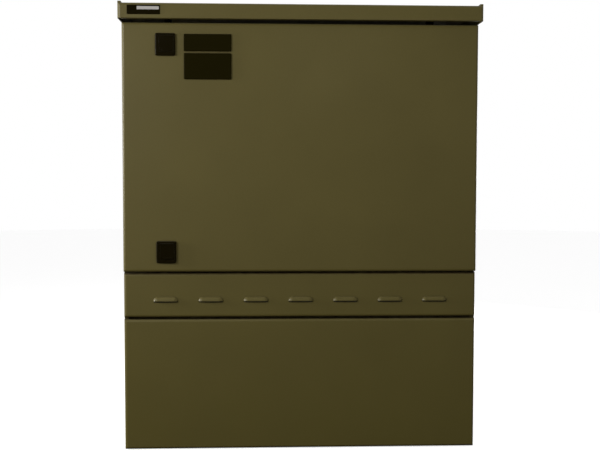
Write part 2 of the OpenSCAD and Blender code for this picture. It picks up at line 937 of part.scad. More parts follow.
// Two upright top-hat stiffeners
module door_stiffeners() {
  low = rim_low + 30;
  high = rim_high - 30;
  brim = 12;
  t = 1.5;
  color(olive)
    for (x = [-stiffener_x, stiffener_x])
      translate([x, skin_y, 0])
        difference() {
          block([-stiffener_w / 2, 0, low], [stiffener_w / 2, stiffener_d, high]);
          block([-stiffener_w / 2 + brim + t, -1, low - 1],
                [stiffener_w / 2 - brim - t, stiffener_d - t, high + 1]);
          both_sides()
            block([stiffener_w / 2 - brim, t, low - 1], [stiffener_w, stiffener_d + 1, high + 1]);
        }
}

module door_earth_stud() {
  x = hw - stile_w - earth_stud_in;
  z = rim_low + earth_stud_up;
  color(zinc) {
    bar_y(x, skin_y, skin_y + 2, z, 7);
    bar_y(x, skin_y + 1, skin_y + 16, z, 3);
  }
}

module upper_plate() {
  x0 = lock_x + plate_gap;
  high = door_high - plate_down;
  color(black)
    tablet([x0, door_y - plate_t, high - upper_plate_h], [x0 + plate_w, door_y, high], plate_corner_r, 1.2);
}

module lower_plate() {
  x0 = lock_x + plate_gap;
  high = door_high - plate_down - upper_plate_h - plate_joint;
  color(black)
    tablet([x0, door_y - plate_t, high - lower_plate_h], [x0 + plate_w, door_y, high], plate_corner_r, 1.2);
}

// Puts a lock's parts in place; their own zero is the spindle's axis at the door's face
module at_lock(i) {
  translate([lock_x, door_y, lock_zs[i]])
    children();
}

module lock_body() {
  color(black)
    difference() {
      union() {
        tablet([-lock_w / 2, -lock_proud, -lock_h / 2], [lock_w / 2, 0, lock_h / 2], lock_corner_r, 2);
        bar_y(0, -1, cam_y - 0.3, 0, barrel_r);
      }
      block([-window_left, -lock_proud - 1, -window_low], [window_right, -2, window_high]);
      bar_y(0, -lock_proud, cam_y + 1, 0, spindle_r + 0.05);
      translate([-window_left - 2.5, flap_axis_y, flap_axis_z])
        rotate([0, 90, 0])
          cylinder(h = window_left + window_right + 5, r = flap_pin_r + 0.05);
    }
}

module lock_nut() {
  color(zinc)
    nut_y(0, sheet_t, sheet_t + 7, 0, barrel_r + 4.6, barrel_r + 0.05);
}

module lock_spindle() {
  key = 8;
  color(zinc)
    difference() {
      union() {
        bar_y(0, -2.5, cam_y, 0, spindle_r);
        block([-cam_shank / 2, cam_y - 1, -cam_shank / 2], [cam_shank / 2, cam_y + cam_t, cam_shank / 2]);
      }
      block([-key / 2, -3.5, -key / 2], [key / 2, 1, key / 2]);
      bar_y(0, cam_y - 12, cam_y + cam_t + 1, 0, 2.55);
    }
}

// The cam points along way, +1 up and -1 down
module lock_cam(way) {
  shank = cam_shank / 2 + 0.05;
  color(zinc)
    difference() {
      union() {
        block([-cam_w / 2, cam_y, min(0, way * (cam_len - cam_w / 2))],
              [cam_w / 2, cam_y + cam_t, max(0, way * (cam_len - cam_w / 2))]);
        bar_y(0, cam_y, cam_y + cam_t, 0, cam_w / 2);
        bar_y(0, cam_y, cam_y + cam_t, way * (cam_len - cam_w / 2), cam_w / 2);
      }
      block([-shank, cam_y - 1, -shank], [shank, cam_y + cam_t + 1, shank]);
    }
}

module cam_screw() {
  color(zinc) {
    translate([0, cam_y + cam_t + 3.5, 0])
      rotate([90, 0, 0])
        cylinder(h = 3.5, r = 7, $fn = 6);
    bar_y(0, cam_y - 11, cam_y + cam_t + 1, 0, 2.5);
  }
}

// A plate that hangs in the lock's window from two short pins
module lock_flap() {
  gap = 0.3;
  color(black) {
    block([-window_left + gap, -lock_proud, -window_low + gap],
          [window_right - gap, -lock_proud + flap_t, flap_axis_z]);
    translate([-window_left + gap, flap_axis_y, flap_axis_z])
      rotate([0, 90, 0])
        cylinder(h = window_left + window_right - 2 * gap, r = flap_axis_r);
    translate([-window_left - 2, flap_axis_y, flap_axis_z])
      rotate([0, 90, 0])
        cylinder(h = window_left + window_right + 4, r = flap_pin_r);
    block([-window_left + 6, -lock_proud - 1.2, -window_low + 2],
          [window_right - 6, -lock_proud + 1, -window_low + 5]);
  }
}

module upper_lock_body() {
  at_lock(1)
    lock_body();
}

module upper_lock_nut() {
  at_lock(1)
    lock_nut();
}

module upper_lock_spindle() {
  at_lock(1)
    lock_spindle();
}

module upper_lock_cam() {
  at_lock(1)
    lock_cam(-1);
}

module upper_cam_screw() {
  at_lock(1)
    cam_screw();
}

module upper_lock_flap() {
  at_lock(1)
    lock_flap();
}

module lower_lock_body() {
  at_lock(0)
    lock_body();
}

module lower_lock_nut() {
  at_lock(0)
    lock_nut();
}

module lower_lock_spindle() {
  at_lock(0)
    lock_spindle();
}

module lower_lock_cam() {
  at_lock(0)
    lock_cam(1);
}

module lower_cam_screw() {
  at_lock(0)
    cam_screw();
}

module lower_lock_flap() {
  at_lock(0)
    lock_flap();
}

base_frame();
left_side_panel();
right_side_panel();
rear_panel();
top_plate();
header_rail();
sill_rail();
cross_rail();
clamp_rail();
floor_plate();
gland_plate();
cable_grommets();
vent_panel();
insect_screen();
plinth_cover();
panel_bolts();
panel_nuts();
rain_roof();
roof_spacers();
roof_nuts();
roof_badge();
mounting_plate();
mount_standoffs();
mount_nuts();
upper_device_rail();
lower_device_rail();
earth_bar();
earth_insulators();
earth_screws();
upper_hinge_arm();
lower_hinge_arm();
upper_hinge_pin();
lower_hinge_pin();
upper_hinge_leaf();
lower_hinge_leaf();
door_panel();
door_gasket();
door_stiffeners();
door_earth_stud();
upper_plate();
lower_plate();
upper_lock_body();
upper_lock_nut();
upper_lock_spindle();
upper_lock_cam();
upper_cam_screw();
upper_lock_flap();
lower_lock_body();
lower_lock_nut();
lower_lock_spindle();
lower_lock_cam();
lower_cam_screw();
lower_lock_flap();
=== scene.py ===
"""Dresses the roadside utility cabinet: its finishes, small fittings, studio light and camera."""

import logging
import math
from abc import ABC, abstractmethod
from collections.abc import Callable, Iterable, Sequence
from dataclasses import dataclass, field
from enum import Enum

import bmesh
import bpy
from mathutils import Matrix, Vector


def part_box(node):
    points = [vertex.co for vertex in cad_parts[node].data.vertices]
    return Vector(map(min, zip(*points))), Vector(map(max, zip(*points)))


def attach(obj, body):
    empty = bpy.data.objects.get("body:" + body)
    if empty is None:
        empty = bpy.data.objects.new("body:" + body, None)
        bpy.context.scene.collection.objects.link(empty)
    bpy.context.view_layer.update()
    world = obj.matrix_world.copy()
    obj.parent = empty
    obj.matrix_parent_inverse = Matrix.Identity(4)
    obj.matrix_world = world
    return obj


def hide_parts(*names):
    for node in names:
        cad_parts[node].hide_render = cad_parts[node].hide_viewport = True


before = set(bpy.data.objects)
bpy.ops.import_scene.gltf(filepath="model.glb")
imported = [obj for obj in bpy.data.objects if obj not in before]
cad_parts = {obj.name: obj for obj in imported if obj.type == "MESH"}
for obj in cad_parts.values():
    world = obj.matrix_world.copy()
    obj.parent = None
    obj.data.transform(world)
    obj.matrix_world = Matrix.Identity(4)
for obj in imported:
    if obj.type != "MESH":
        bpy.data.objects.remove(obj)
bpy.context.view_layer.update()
LOG = logging.getLogger("cabinet")

Socket = bpy.types.NodeSocket
Sockets = bpy.types.bpy_prop_collection
Feed = Socket | float | Sequence[float]
Colour = tuple[float, float, float, float]
Place = tuple[float, float, float]
Span = tuple[float, float]
Profile = Sequence[Span]

LEFT, RIGHT = Vector((-1.0, 0.0, 0.0)), Vector((1.0, 0.0, 0.0))
FORWARD, REARWARD = Vector((0.0, -1.0, 0.0)), Vector((0.0, 1.0, 0.0))
UPWARD = Vector((0.0, 0.0, 1.0))

# A ring smaller than this is a single point
POINT_RADIUS = 1e-7

# How far the foot of a small fitting reaches into what it sits on
SUNK = 0.0004

# Where most values of a noise lie
NOISE_SPAN: Span = (0.3, 0.7)


class Coat(Enum):
    """Finishes that the cabinet's pieces are given."""

    OLIVE = "olive_paint"
    VENT = "vent_paint"
    GALVANISED = "galvanised_steel"
    STRIP = "galvanised_strip"
    SCREEN = "wire_screen"
    ZINC = "zinc_steel"
    BLACK = "black_plastic"
    PLATE = "dark_plate"
    BADGE = "badge_plate"
    RUBBER = "rubber"
    BRASS = "brass"

    @property
    def slot(self) -> str:
        """The record's material slot of this finish."""
        shared = {
            Coat.VENT: Coat.OLIVE,
            Coat.STRIP: Coat.GALVANISED,
            Coat.SCREEN: Coat.GALVANISED,
            Coat.BADGE: Coat.PLATE,
        }
        return shared.get(self, self).value


class Effect(Enum):
    """Surface effects that the finishes are made of."""

    EDGE_WEAR = "edge_wear"
    COAT_TEXTURE = "coat_texture"
    SETTLED_DUST = "settled_dust_and_low_shade"
    SPANGLE = "spangle"
    DRAWN_LINES = "drawn_lines"
    MOULD_GRAIN = "mould_grain"
    WIRE_WEAVE = "wire_weave"
    JOINT_DIRT = "painted_joint_shade"


class Body(Enum):
    """The bodies that new pieces are fixed to."""

    HOUSING = "housing"
    DOOR = "door"


class Level(Enum):
    """The two heights at which the locks, hinges and device rails sit."""

    UPPER = "upper"
    LOWER = "lower"


def rgb(red: float, green: float, blue: float) -> Colour:
    """A linear colour with full alpha."""
    return (red, green, blue, 1.0)


def spread(low: float, high: float, count: int) -> list[float]:
    """Evenly spaced values from low to high."""
    return [low + (high - low) * i / (count - 1) for i in range(count)]


class NodeDesk:
    """Adds nodes and links to one shader node tree."""

    COLUMN_WIDTH = 180

    def __init__(self, tree: bpy.types.NodeTree) -> None:
        """Takes the tree that the nodes go into."""
        self.tree = tree
        self._column = 0

    def node(self, kind: str, **settings: object) -> bpy.types.Node:
        """Adds a node.

        Args:
            kind: The node's type name.
            **settings: Attributes to set on it.

        Returns:
            The new node.
        """
        made = self.tree.nodes.new(kind)
        made.location = (self.COLUMN_WIDTH * self._column, 0)
        self._column += 1
        for name, value in settings.items():
            setattr(made, name, value)
        return made

    def feed(self, socket: Socket, value: Feed) -> None:
        """Links a socket to another, or sets its own value.

        Args:
            socket: The input to feed.
            value: An output socket, a number, a vector or a colour.
        """
        if isinstance(value, Socket):
            self.tree.links.new(value, socket)
        else:
            socket.default_value = value

    def fill(self, node: bpy.types.Node, **values: Feed) -> bpy.types.Node:
        """Feeds a node's inputs.

        Args:
            node: The node.
            **values: What its inputs get, named with underscores for spaces.

        Returns:
            The same node.
        """
        for name, value in values.items():
            self.feed(node.inputs[name.replace("_", " ")], value)
        return node

    def math(self, operation: str, first: Feed, second: Feed = 0.0, clamp: bool = False) -> Socket:
        """Adds a Math node.

        Args:
            operation: The node's operation.
            first: First operand.
            second: Second operand.
            clamp: Whether the result is kept between 0 and 1.

        Returns:
            The result's socket.
        """
        made = self.node("ShaderNodeMath", operation=operation, use_clamp=clamp)
        self.feed(made.inputs[0], first)
        self.feed(made.inputs[1], second)
        return made.outputs[0]

    def times(self, first: Feed, second: Feed) -> Socket:
        """Multiplies two values."""
        return self.math("MULTIPLY", first, second)

    def blend(self, first: Socket, second: Socket, share: float) -> Socket:
        """Adds two values, the second weighted by a share and the first by the rest."""
        return self.math("ADD", self.times(first, 1.0 - share), self.times(second, share))

    def remap(self, value: Feed, low: Feed, high: Feed, out_low: Feed = 0.0, out_high: Feed = 1.0) -> Socket:
        """Maps a range of values to another, clamped.

        Args:
            value: The value to map.
            low: Where the range starts.
            high: Where it ends.
            out_low: Result at the start.
            out_high: Result at the end.

        Returns:
            The result's socket.
        """
        made = self.node("ShaderNodeMapRange")
        self.fill(made, Value=value, From_Min=low, From_Max=high, To_Min=out_low, To_Max=out_high)
        return made.outputs["Result"]

    def between(self, share: Socket, start: Feed, end: Feed) -> Socket:
        """A value that goes from start to end while a share goes from 0 to 1."""
        return self.remap(share, 0.0, 1.0, start, end)

    def mix(self, factor: Feed, first: Feed, second: Feed) -> Socket:
        """Mixes two colours.

        Args:
            factor: Share of the second colour.
            first: First colour.
            second: Second colour.

        Returns:
            The mixed colour's socket.
        """
        made = self.node("ShaderNodeMix", data_type="RGBA")
        for index, value in ((0, factor), (6, first), (7, second)):
            self.feed(made.inputs[index], value)
        return made.outputs[2]

    def tint(self, mask: Socket, share: float, ground: Feed, cover: Feed) -> Socket:
        """Lays a colour over another where a mask is, by no more than a share."""
        return self.mix(self.times(mask, share), ground, cover)

    def noise(self, vector: Socket, scale: Feed, detail: float, rough: float) -> Socket:
        """Adds a noise texture.

        Args:
            vector: Where it is read.
            scale: Its cells per metre.
            detail: Number of finer octaves.
            rough: Weight of the finer octaves.

        Returns:
            The noise value's socket.
        """
        made = self.node("ShaderNodeTexNoise")
        self.fill(made, Vector=vector, Scale=scale, Detail=detail, Roughness=rough)
        return made.outputs[0]

    def object_point(self) -> Socket:
        """Where the shaded point lies in the object's own frame."""
        return self.node("ShaderNodeTexCoord").outputs["Object"]

    def face_normal(self) -> Socket:
        """The normal of the shaded face."""
        return self.node("ShaderNodeNewGeometry").outputs["Normal"]

    def axes(self, vector: Socket) -> Sockets:
        """Splits a vector into its X, Y and Z."""
        return self.fill(self.node("ShaderNodeSeparateXYZ"), Vector=vector).outputs

    def stretch(self, vector: Socket, factors: Place) -> Socket:
        """Multiplies a vector by a factor along each axis.

        Args:
            vector: The vector.
            factors: The factors along X, Y and Z.

        Returns:
            The stretched vector's socket.
        """
        made = self.node("ShaderNodeVectorMath", operation="MULTIPLY")
        self.feed(made.inputs[0], vector)
        self.feed(made.inputs[1], factors)
        return made.outputs["Vector"]


class GroupShelf:
    """Keeps the shader node groups, each built the first time it is laid."""

    def __init__(self) -> None:
        """Starts with an empty shelf."""
        self._made: dict[Effect, bpy.types.NodeTree] = {}
        self._builders: dict[Effect, Callable[[NodeDesk], None]] = {
            Effect.EDGE_WEAR: self._edge_wear,
            Effect.COAT_TEXTURE: self._coat_texture,
            Effect.SETTLED_DUST: self._settled_dust_and_low_shade,
            Effect.SPANGLE: self._spangle,
            Effect.DRAWN_LINES: self._drawn_lines,
            Effect.MOULD_GRAIN: self._mould_grain,
            Effect.WIRE_WEAVE: self._wire_weave,
            Effect.JOINT_DIRT: self._painted_joint_shade,
        }

    def lay(self, desk: NodeDesk, effect: Effect, **values: Feed) -> Sockets:
        """Places an effect's node group in a material.

        Args:
            desk: The material's desk.
            effect: Which effect.
            **values: The group's inputs, named with underscores for spaces.

        Returns:
            The group's outputs.
        """
        if effect not in self._made:
            tree = bpy.data.node_groups.new(effect.value, "ShaderNodeTree")
            self._builders[effect](NodeDesk(tree))
            self._made[effect] = tree
        placed = desk.node("ShaderNodeGroup", node_tree=self._made[effect])
        return desk.fill(placed, **values).outputs

    @staticmethod
    def _inputs(desk: NodeDesk, **defaults: float) -> Sockets:
        """Declares a group's number inputs.

        Args:
            desk: The group's desk.
            **defaults: Their usual values, named with underscores for spaces.

        Returns:
            The sockets that bring the inputs in.
        """
        for name, value in defaults.items():
            spaced = name.replace("_", " ")
            socket = desk.tree.interface.new_socket(spaced, in_out="INPUT", socket_type="NodeSocketFloat")
            socket.default_value = value
        return desk.node("NodeGroupInput").outputs

    @staticmethod
    def _outputs(desk: NodeDesk, **results: Socket) -> None:
        """Declares a group's outputs and feeds them.

        Args:
            desk: The group's desk.
            **results: What they put out, named with underscores for spaces.
        """
        for name in results:
            kind = "NodeSocketVector" if name.endswith("Normal") else "NodeSocketFloat"
            desk.tree.interface.new_socket(name.replace("_", " "), in_out="OUTPUT", socket_type=kind)
        desk.fill(desk.node("NodeGroupOutput"), **results)

    def _edge_wear(self, desk: NodeDesk) -> None:
        """Finds edges by a rounded normal, and breaks them up.

        Args:
            desk: The group's desk.
        """
        start = self._inputs(desk, Radius=0.0015, Breakup_Scale=70.0)
        bevel = desk.fill(desk.node("ShaderNodeBevel", samples=4), Radius=start["Radius"])
        rounded = bevel.outputs["Normal"]
        agreement = desk.node("ShaderNodeVectorMath", operation="DOT_PRODUCT")
        desk.feed(agreement.inputs[0], rounded)
        desk.feed(agreement.inputs[1], desk.face_normal())
        flat, sharp = 0.995, 0.80
        edge = desk.remap(agreement.outputs["Value"], flat, sharp)
        patches = desk.noise(desk.object_point(), start["Breakup Scale"], detail=4.0, rough=0.65)
        whole, worn = 0.38, 0.68
        mask = desk.times(edge, desk.remap(patches, whole, worn))
        self._outputs(desk, Mask=mask, Rounded_Normal=rounded)

    def _coat_texture(self, desk: NodeDesk) -> None:
        """Orange peel of a sprayed coat, with slow changes of tone.

        Args:
            desk: The group's desk.
        """
        start = self._inputs(desk, Grain_Scale=700.0, Mottle_Scale=7.0)
        place = desk.object_point()
        finer_by, quicker_by = 2.7, 45.0
        peel = desk.noise(place, start["Grain Scale"], detail=1.0, rough=0.4)
        finer = desk.noise(place, desk.times(start["Grain Scale"], finer_by), detail=1.0, rough=0.4)
        slow = desk.noise(place, start["Mottle Scale"], detail=3.0, rough=0.5)
        quick = desk.noise(place, desk.times(start["Mottle Scale"], quicker_by), detail=2.0, rough=0.6)
        darkest, lightest = 0.32, 0.68
        tone = desk.remap(desk.blend(slow, quick, share=0.4), darkest, lightest)
        self._outputs(desk, Height=desk.blend(peel, finer, share=0.3), Tone=tone)

    def _settled_dust_and_low_shade(self, desk: NodeDesk) -> None:
        """Dust on faces that look up, splashes near the ground, and a painted shade that darkens from the
        ground up and reaches higher.

        Args:
            desk: The group's desk.
        """
        start = self._inputs(desk, Splash_Height=0.25, Breakup_Scale=14.0)
        coordinates = desk.node("ShaderNodeTexCoord").outputs
        place = coordinates["Object"]
        facing_up = desk.axes(coordinates["Normal"])["Z"]
        patch_span, speck_span, speck_scale = (0.35, 0.72), (0.5, 0.75), 260.0
        patch_noise = desk.noise(place, start["Breakup Scale"], detail=6.0, rough=0.65)
        patches = desk.remap(patch_noise, *patch_span)
        specks = desk.remap(desk.noise(place, speck_scale, detail=2.0, rough=0.6), *speck_span)
        steepest, thin_dust, thin_low_shade = 0.25, 0.35, 0.7
        top = desk.times(desk.remap(facing_up, steepest, 1.0), desk.between(patches, thin_dust, 1.0))
        rise = desk.math("DIVIDE", desk.axes(place)["Z"], start["Splash Height"])
        fall_off, low_shade_full = 2.2, 0.15
        low = desk.math("POWER", desk.remap(rise, 1.0, 0.0), fall_off)
        splash = desk.times(low, desk.blend(patches, specks, share=0.4))
        # Painted shade: a mask that darkens the coat towards the bottom.
        low_shade = desk.times(desk.remap(rise, 1.0, low_shade_full), desk.between(patches, thin_low_shade, 1.0))
        self._outputs(desk, Top_Dust=top, Splash=splash, Film=low_shade)

    def _painted_joint_shade(self, desk: NodeDesk) -> None:
        """Painted shade that darkens joints, gaps and the undersides of lips, where ambient occlusion finds
        them hidden.

        Args:
            desk: The group's desk.
        """
        start = self._inputs(desk, Reach=0.015, Breakup_Scale=60.0, Clear=0.66, Full=0.40)
        # Painted shade: ambient occlusion marks joints, gaps and lips for darkening.
        shelter = desk.fill(desk.node("ShaderNodeAmbientOcclusion", samples=6), Distance=start["Reach"])
        patch_noise = desk.noise(desk.object_point(), start["Breakup Scale"], detail=4.0, rough=0.6)
        patch_span, thinnest = (0.30, 0.62), 0.6
        patches = desk.remap(patch_noise, *patch_span, thinnest, 1.0)
        hidden = desk.remap(shelter.outputs["AO"], start["Clear"], start["Full"])
        self._outputs(desk, Mask=desk.times(hidden, patches))

    def _spangle(self, desk: NodeDesk) -> None:
        """Flowery crystals of a hot-dip zinc coat.

        Args:
            desk: The group's desk.
        """
        start = self._inputs(desk, Crystal_Scale=110.0)
        place = desk.object_point()
        warp_scale, warp_reach, feather_scale = 160.0, 0.006, 900.0
        warp = desk.fill(desk.node("ShaderNodeTexNoise"), Vector=place, Scale=warp_scale)
        bent = desk.node("ShaderNodeVectorMath", operation="MULTIPLY_ADD")
        for socket, value in zip(bent.inputs, (warp.outputs["Color"], (warp_reach,) * 3, place)):
            desk.feed(socket, value)
        cells = desk.node("ShaderNodeTexVoronoi", feature="F1")
        desk.fill(cells, Vector=bent.outputs["Vector"], Scale=start["Crystal Scale"])
        parts = desk.fill(desk.node("ShaderNodeSeparateColor"), Color=cells.outputs["Color"]).outputs
        feather = desk.noise(place, feather_scale, detail=2.0, rough=0.6)
        self._outputs(desk, Tone=desk.blend(parts["Red"], feather, share=0.25), Height=parts["Green"])

    def _drawn_lines(self, desk: NodeDesk) -> None:
        """Fine lines left by rolling or drawing.

        Args:
            desk: The group's desk.
        """
        start = self._inputs(desk, Line_Scale=1400.0)
        place = desk.object_point()
        long_way = desk.stretch(place, (0.06, 1.0, 1.0))
        stain_scale = 55.0
        lines = desk.noise(long_way, start["Line Scale"], detail=2.0, rough=0.6)
        stains = desk.noise(place, stain_scale, detail=4.0, rough=0.6)
        tone = desk.remap(desk.blend(lines, stains, share=0.45), *NOISE_SPAN)
        self._outputs(desk, Tone=tone, Height=lines)

    def _mould_grain(self, desk: NodeDesk) -> None:
        """Fine erosion grain of a moulding, with faint scuffs.

        Args:
            desk: The group's desk.
        """
        start = self._inputs(desk, Grain_Scale=1800.0, Scuff_Scale=40.0)
        place = desk.object_point()
        grain = desk.noise(place, start["Grain Scale"], detail=2.0, rough=0.6)
        level_streaks = desk.stretch(place, (1.0, 1.0, 3.5))
        scuffs = desk.noise(level_streaks, start["Scuff Scale"], detail=5.0, rough=0.7)
        whole, scuffed = 0.5, 0.78
        scuff = desk.remap(scuffs, whole, scuffed)
        self._outputs(desk, Height=grain, Tone=desk.remap(grain, *NOISE_SPAN), Scuff=scuff)

    def _wire_weave(self, desk: NodeDesk) -> None:
        """Crossed thin wires with openings between them.

        Args:
            desk: The group's desk.
        """
        start = self._inputs(desk, Pitch=0.0022)
        point = desk.axes(desk.object_point())
        turn = desk.math("DIVIDE", math.tau, start["Pitch"])
        across = desk.math("COSINE", desk.times(point["X"], turn))
        upward = desk.math("COSINE", desk.times(point["Z"], turn))
        height = desk.math("MAXIMUM", across, upward)
        opening, wire = 0.45, 0.75
        self._outputs(desk, Wire=desk.remap(height, opening, wire), Height=height)


@dataclass(frozen=True)
class Finish(ABC):
    """A finish: a procedural material with its own values."""

    name: str
    relief_strength: float = 0.12
    relief_depth: float = 0.0003

    def make(self, shelf: GroupShelf) -> bpy.types.Material:
        """Builds the material.

        Args:
            shelf: Where the shared effects come from.

        Returns:
            The finished material.
        """
        material = bpy.data.materials.new(self.name)
        material.use_nodes = True
        material.node_tree.nodes.clear()
        desk = NodeDesk(material.node_tree)
        shader = desk.node("ShaderNodeBsdfPrincipled")
        self.paint(desk, shader, shelf)
        desk.fill(desk.node("ShaderNodeOutputMaterial"), Surface=shader.outputs[0])
        return material

    @abstractmethod
    def paint(self, desk: NodeDesk, shader: bpy.types.Node, shelf: GroupShelf) -> None:
        """Feeds the shader.

        Args:
            desk: The material's desk.
            shader: Its Principled shader.
            shelf: Where the shared effects come from.
        """

    def relief(self, desk: NodeDesk, shader: bpy.types.Node, height: Socket, normal: Socket) -> None:
        """Feeds the shader's normal from a height.

        Args:
            desk: The material's desk.
            shader: Its Principled shader.
            height: Height socket.
            normal: Normal that the relief stands on.
        """
        bump = desk.node("ShaderNodeBump")
        desk.fill(bump, Strength=self.relief_strength, Distance=self.relief_depth)
        desk.fill(bump, Height=height, Normal=normal)
        desk.fill(shader, Normal=bump.outputs["Normal"])


@dataclass(frozen=True)
class PowderCoat(Finish):
    """Satin powder coat on sheet steel."""

    relief_strength: float = 0.22
    relief_depth: float = 0.0004
    dark: Colour = rgb(0.072, 0.0584, 0.0154)
    light: Colour = rgb(0.083, 0.0678, 0.0188)
    peel_scale: float = 650.0
    mottle_scale: float = 6.0
    worn: Colour = rgb(0.125, 0.110, 0.052)
    wear_share: float = 0.22
    wear_scale: float = 55.0
    edge_radius: float = 0.0012
    dust: Colour = rgb(0.19, 0.175, 0.135)
    dust_share: float = 0.20
    dust_scale: float = 13.0
    # Darker, less blue colour painted low down as shade.
    low_shade: Colour = rgb(0.067, 0.0555, 0.0094)
    low_shade_share: float = 0.55
    low_shade_height: float = 0.40
    # Colour of the painted shade in joints, gaps and under lips.
    joint_shade_colour: Colour = rgb(0.019, 0.0110, 0.0025)
    joint_shade_share: float = 0.92
    joint_shade_scale: float = 60.0
    joint_shade_reach: float = 0.016
    joint_shade_clear: float = 0.66
    joint_shade_full: float = 0.40
    dull: float = 0.50
    satin: float = 0.43
    dust_and_shade_dulls: float = 0.35
    specular: float = 0.20
    gloss: float = 0.09
    gloss_rough: float = 0.22

    def paint(self, desk: NodeDesk, shader: bpy.types.Node, shelf: GroupShelf) -> None:
        """Mottled olive with orange peel, dust, painted shade that darkens it low down, rubbed edges and
        painted shade in joints and under lips.

        Args:
            desk: The material's desk.
            shader: Its Principled shader.
            shelf: Where the shared effects come from.
        """
        coat = shelf.lay(desk, Effect.COAT_TEXTURE,
                         Grain_Scale=self.peel_scale, Mottle_Scale=self.mottle_scale)
        wear = shelf.lay(desk, Effect.EDGE_WEAR, Radius=self.edge_radius, Breakup_Scale=self.wear_scale)
        dust = shelf.lay(desk, Effect.SETTLED_DUST,
                         Splash_Height=self.low_shade_height, Breakup_Scale=self.dust_scale)
        joint_shade = shelf.lay(desk, Effect.JOINT_DIRT, Reach=self.joint_shade_reach, Breakup_Scale=self.joint_shade_scale,
                           Clear=self.joint_shade_clear, Full=self.joint_shade_full)
        cover = desk.times(dust["Top Dust"], self.dust_share)
        joint_shaded = desk.times(joint_shade["Mask"], self.joint_shade_share)
        tone = desk.mix(coat["Tone"], self.dark, self.light)
        # Painted shade: the coat turns darker and less blue towards the bottom.
        low_shaded = desk.tint(dust["Film"], self.low_shade_share, tone, self.low_shade)
        dusty = desk.mix(cover, low_shaded, self.dust)
        rubbed = desk.tint(wear["Mask"], self.wear_share, dusty, self.worn)
        clean_rough = desk.between(coat["Tone"], self.dull, self.satin)
        dust_and_shade_rough = desk.times(desk.math("MAXIMUM", cover, joint_shaded), self.dust_and_shade_dulls)
        desk.fill(
            shader,
            # The base colour takes the painted shade where the joint mask is high.
            Base_Color=desk.mix(joint_shaded, rubbed, self.joint_shade_colour),
            Roughness=desk.math("ADD", clean_rough, dust_and_shade_rough, clamp=True),
            Specular_IOR_Level=self.specular,
            Coat_Weight=desk.between(joint_shaded, self.gloss, 0.0),
            Coat_Roughness=self.gloss_rough,
        )
        self.relief(desk, shader, coat["Height"], wear["Rounded Normal"])


@dataclass(frozen=True)
class MouldedPlastic(Finish):
    """Moulded plastic with a fine grain."""

    relief_depth: float = 0.0002
    dark: Colour = rgb(0.0038, 0.0026, 0.0002)
    light: Colour = rgb(0.0062, 0.0044, 0.0004)
    grain_scale: float = 1500.0
    scuff_scale: float = 45.0
    worn: Colour = rgb(0.050, 0.046, 0.038)
    wear_share: float = 0.35
    wear_scale: float = 120.0
    edge_radius: float = 0.0007
    dust: Colour = rgb(0.12, 0.11, 0.09)
    dust_share: float = 0.18
    dust_scale: float = 40.0
    smooth: float = 0.30
    dull: float = 0.46
    specular: float = 0.05

    def paint(self, desk: NodeDesk, shader: bpy.types.Node, shelf: GroupShelf) -> None:
        """Near black with grain, scuffed gloss and slightly rubbed edges.

        Args:
            desk: The material's desk.
            shader: Its Principled shader.
            shelf: Where the shared effects come from.
        """
        grain = shelf.lay(desk, Effect.MOULD_GRAIN,
                          Grain_Scale=self.grain_scale, Scuff_Scale=self.scuff_scale)
        wear = shelf.lay(desk, Effect.EDGE_WEAR, Radius=self.edge_radius, Breakup_Scale=self.wear_scale)
        dust = shelf.lay(desk, Effect.SETTLED_DUST, Breakup_Scale=self.dust_scale)
        tone = self.ground(desk, desk.mix(grain["Tone"], self.dark, self.light))
        rubbed = desk.tint(wear["Mask"], self.wear_share, tone, self.worn)
        desk.fill(
            shader,
            Base_Color=desk.tint(dust["Top Dust"], self.dust_share, rubbed, self.dust),
            Roughness=desk.between(grain["Scuff"], self.smooth, self.dull),
            Specular_IOR_Level=self.specular,
        )
        self.relief(desk, shader, grain["Height"], wear["Rounded Normal"])

    def ground(self, desk: NodeDesk, tone: Socket) -> Socket:
        """The colour below wear and dust: here the plain plastic.

        Args:
            desk: The material's desk; not used here.
            tone: Colour of the plain plastic.

        Returns:
            The colour's socket.
        """
        return tone


@dataclass(frozen=True)
class BarredPlate(MouldedPlastic):
    """Dark plate with a plain pale bar on its face."""

    node: str = ""
    bar: Colour = rgb(0.30, 0.285, 0.27)
    across: Span = (0.30, 0.97)
    upward: Span = (0.50, 0.86)
    blur: float = 0.0003

    def ground(self, desk: NodeDesk, tone: Socket) -> Socket:
        """Lays the bar over the plain plastic, placed by shares of the plate's width and height.

        Args:
            desk: The material's desk.
            tone: Colour of the plain plastic.

        Returns:
            The colour's socket.
        """
        low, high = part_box(self.node)
        point = desk.axes(desk.object_point())
        cover: Feed = 1.0
        sides = (("X", low.x, high.x - low.x, self.across), ("Z", low.z, high.z - low.z, self.upward))
        for axis, start, reach, shares in sides:
            begin, end = (start + reach * share for share in shares)
            rising = desk.remap(point[axis], begin, begin + self.blur)
            falling = desk.remap(point[axis], end, end - self.blur)
            cover = desk.times(cover, desk.times(rising, falling))
        return desk.mix(cover, tone, self.bar)


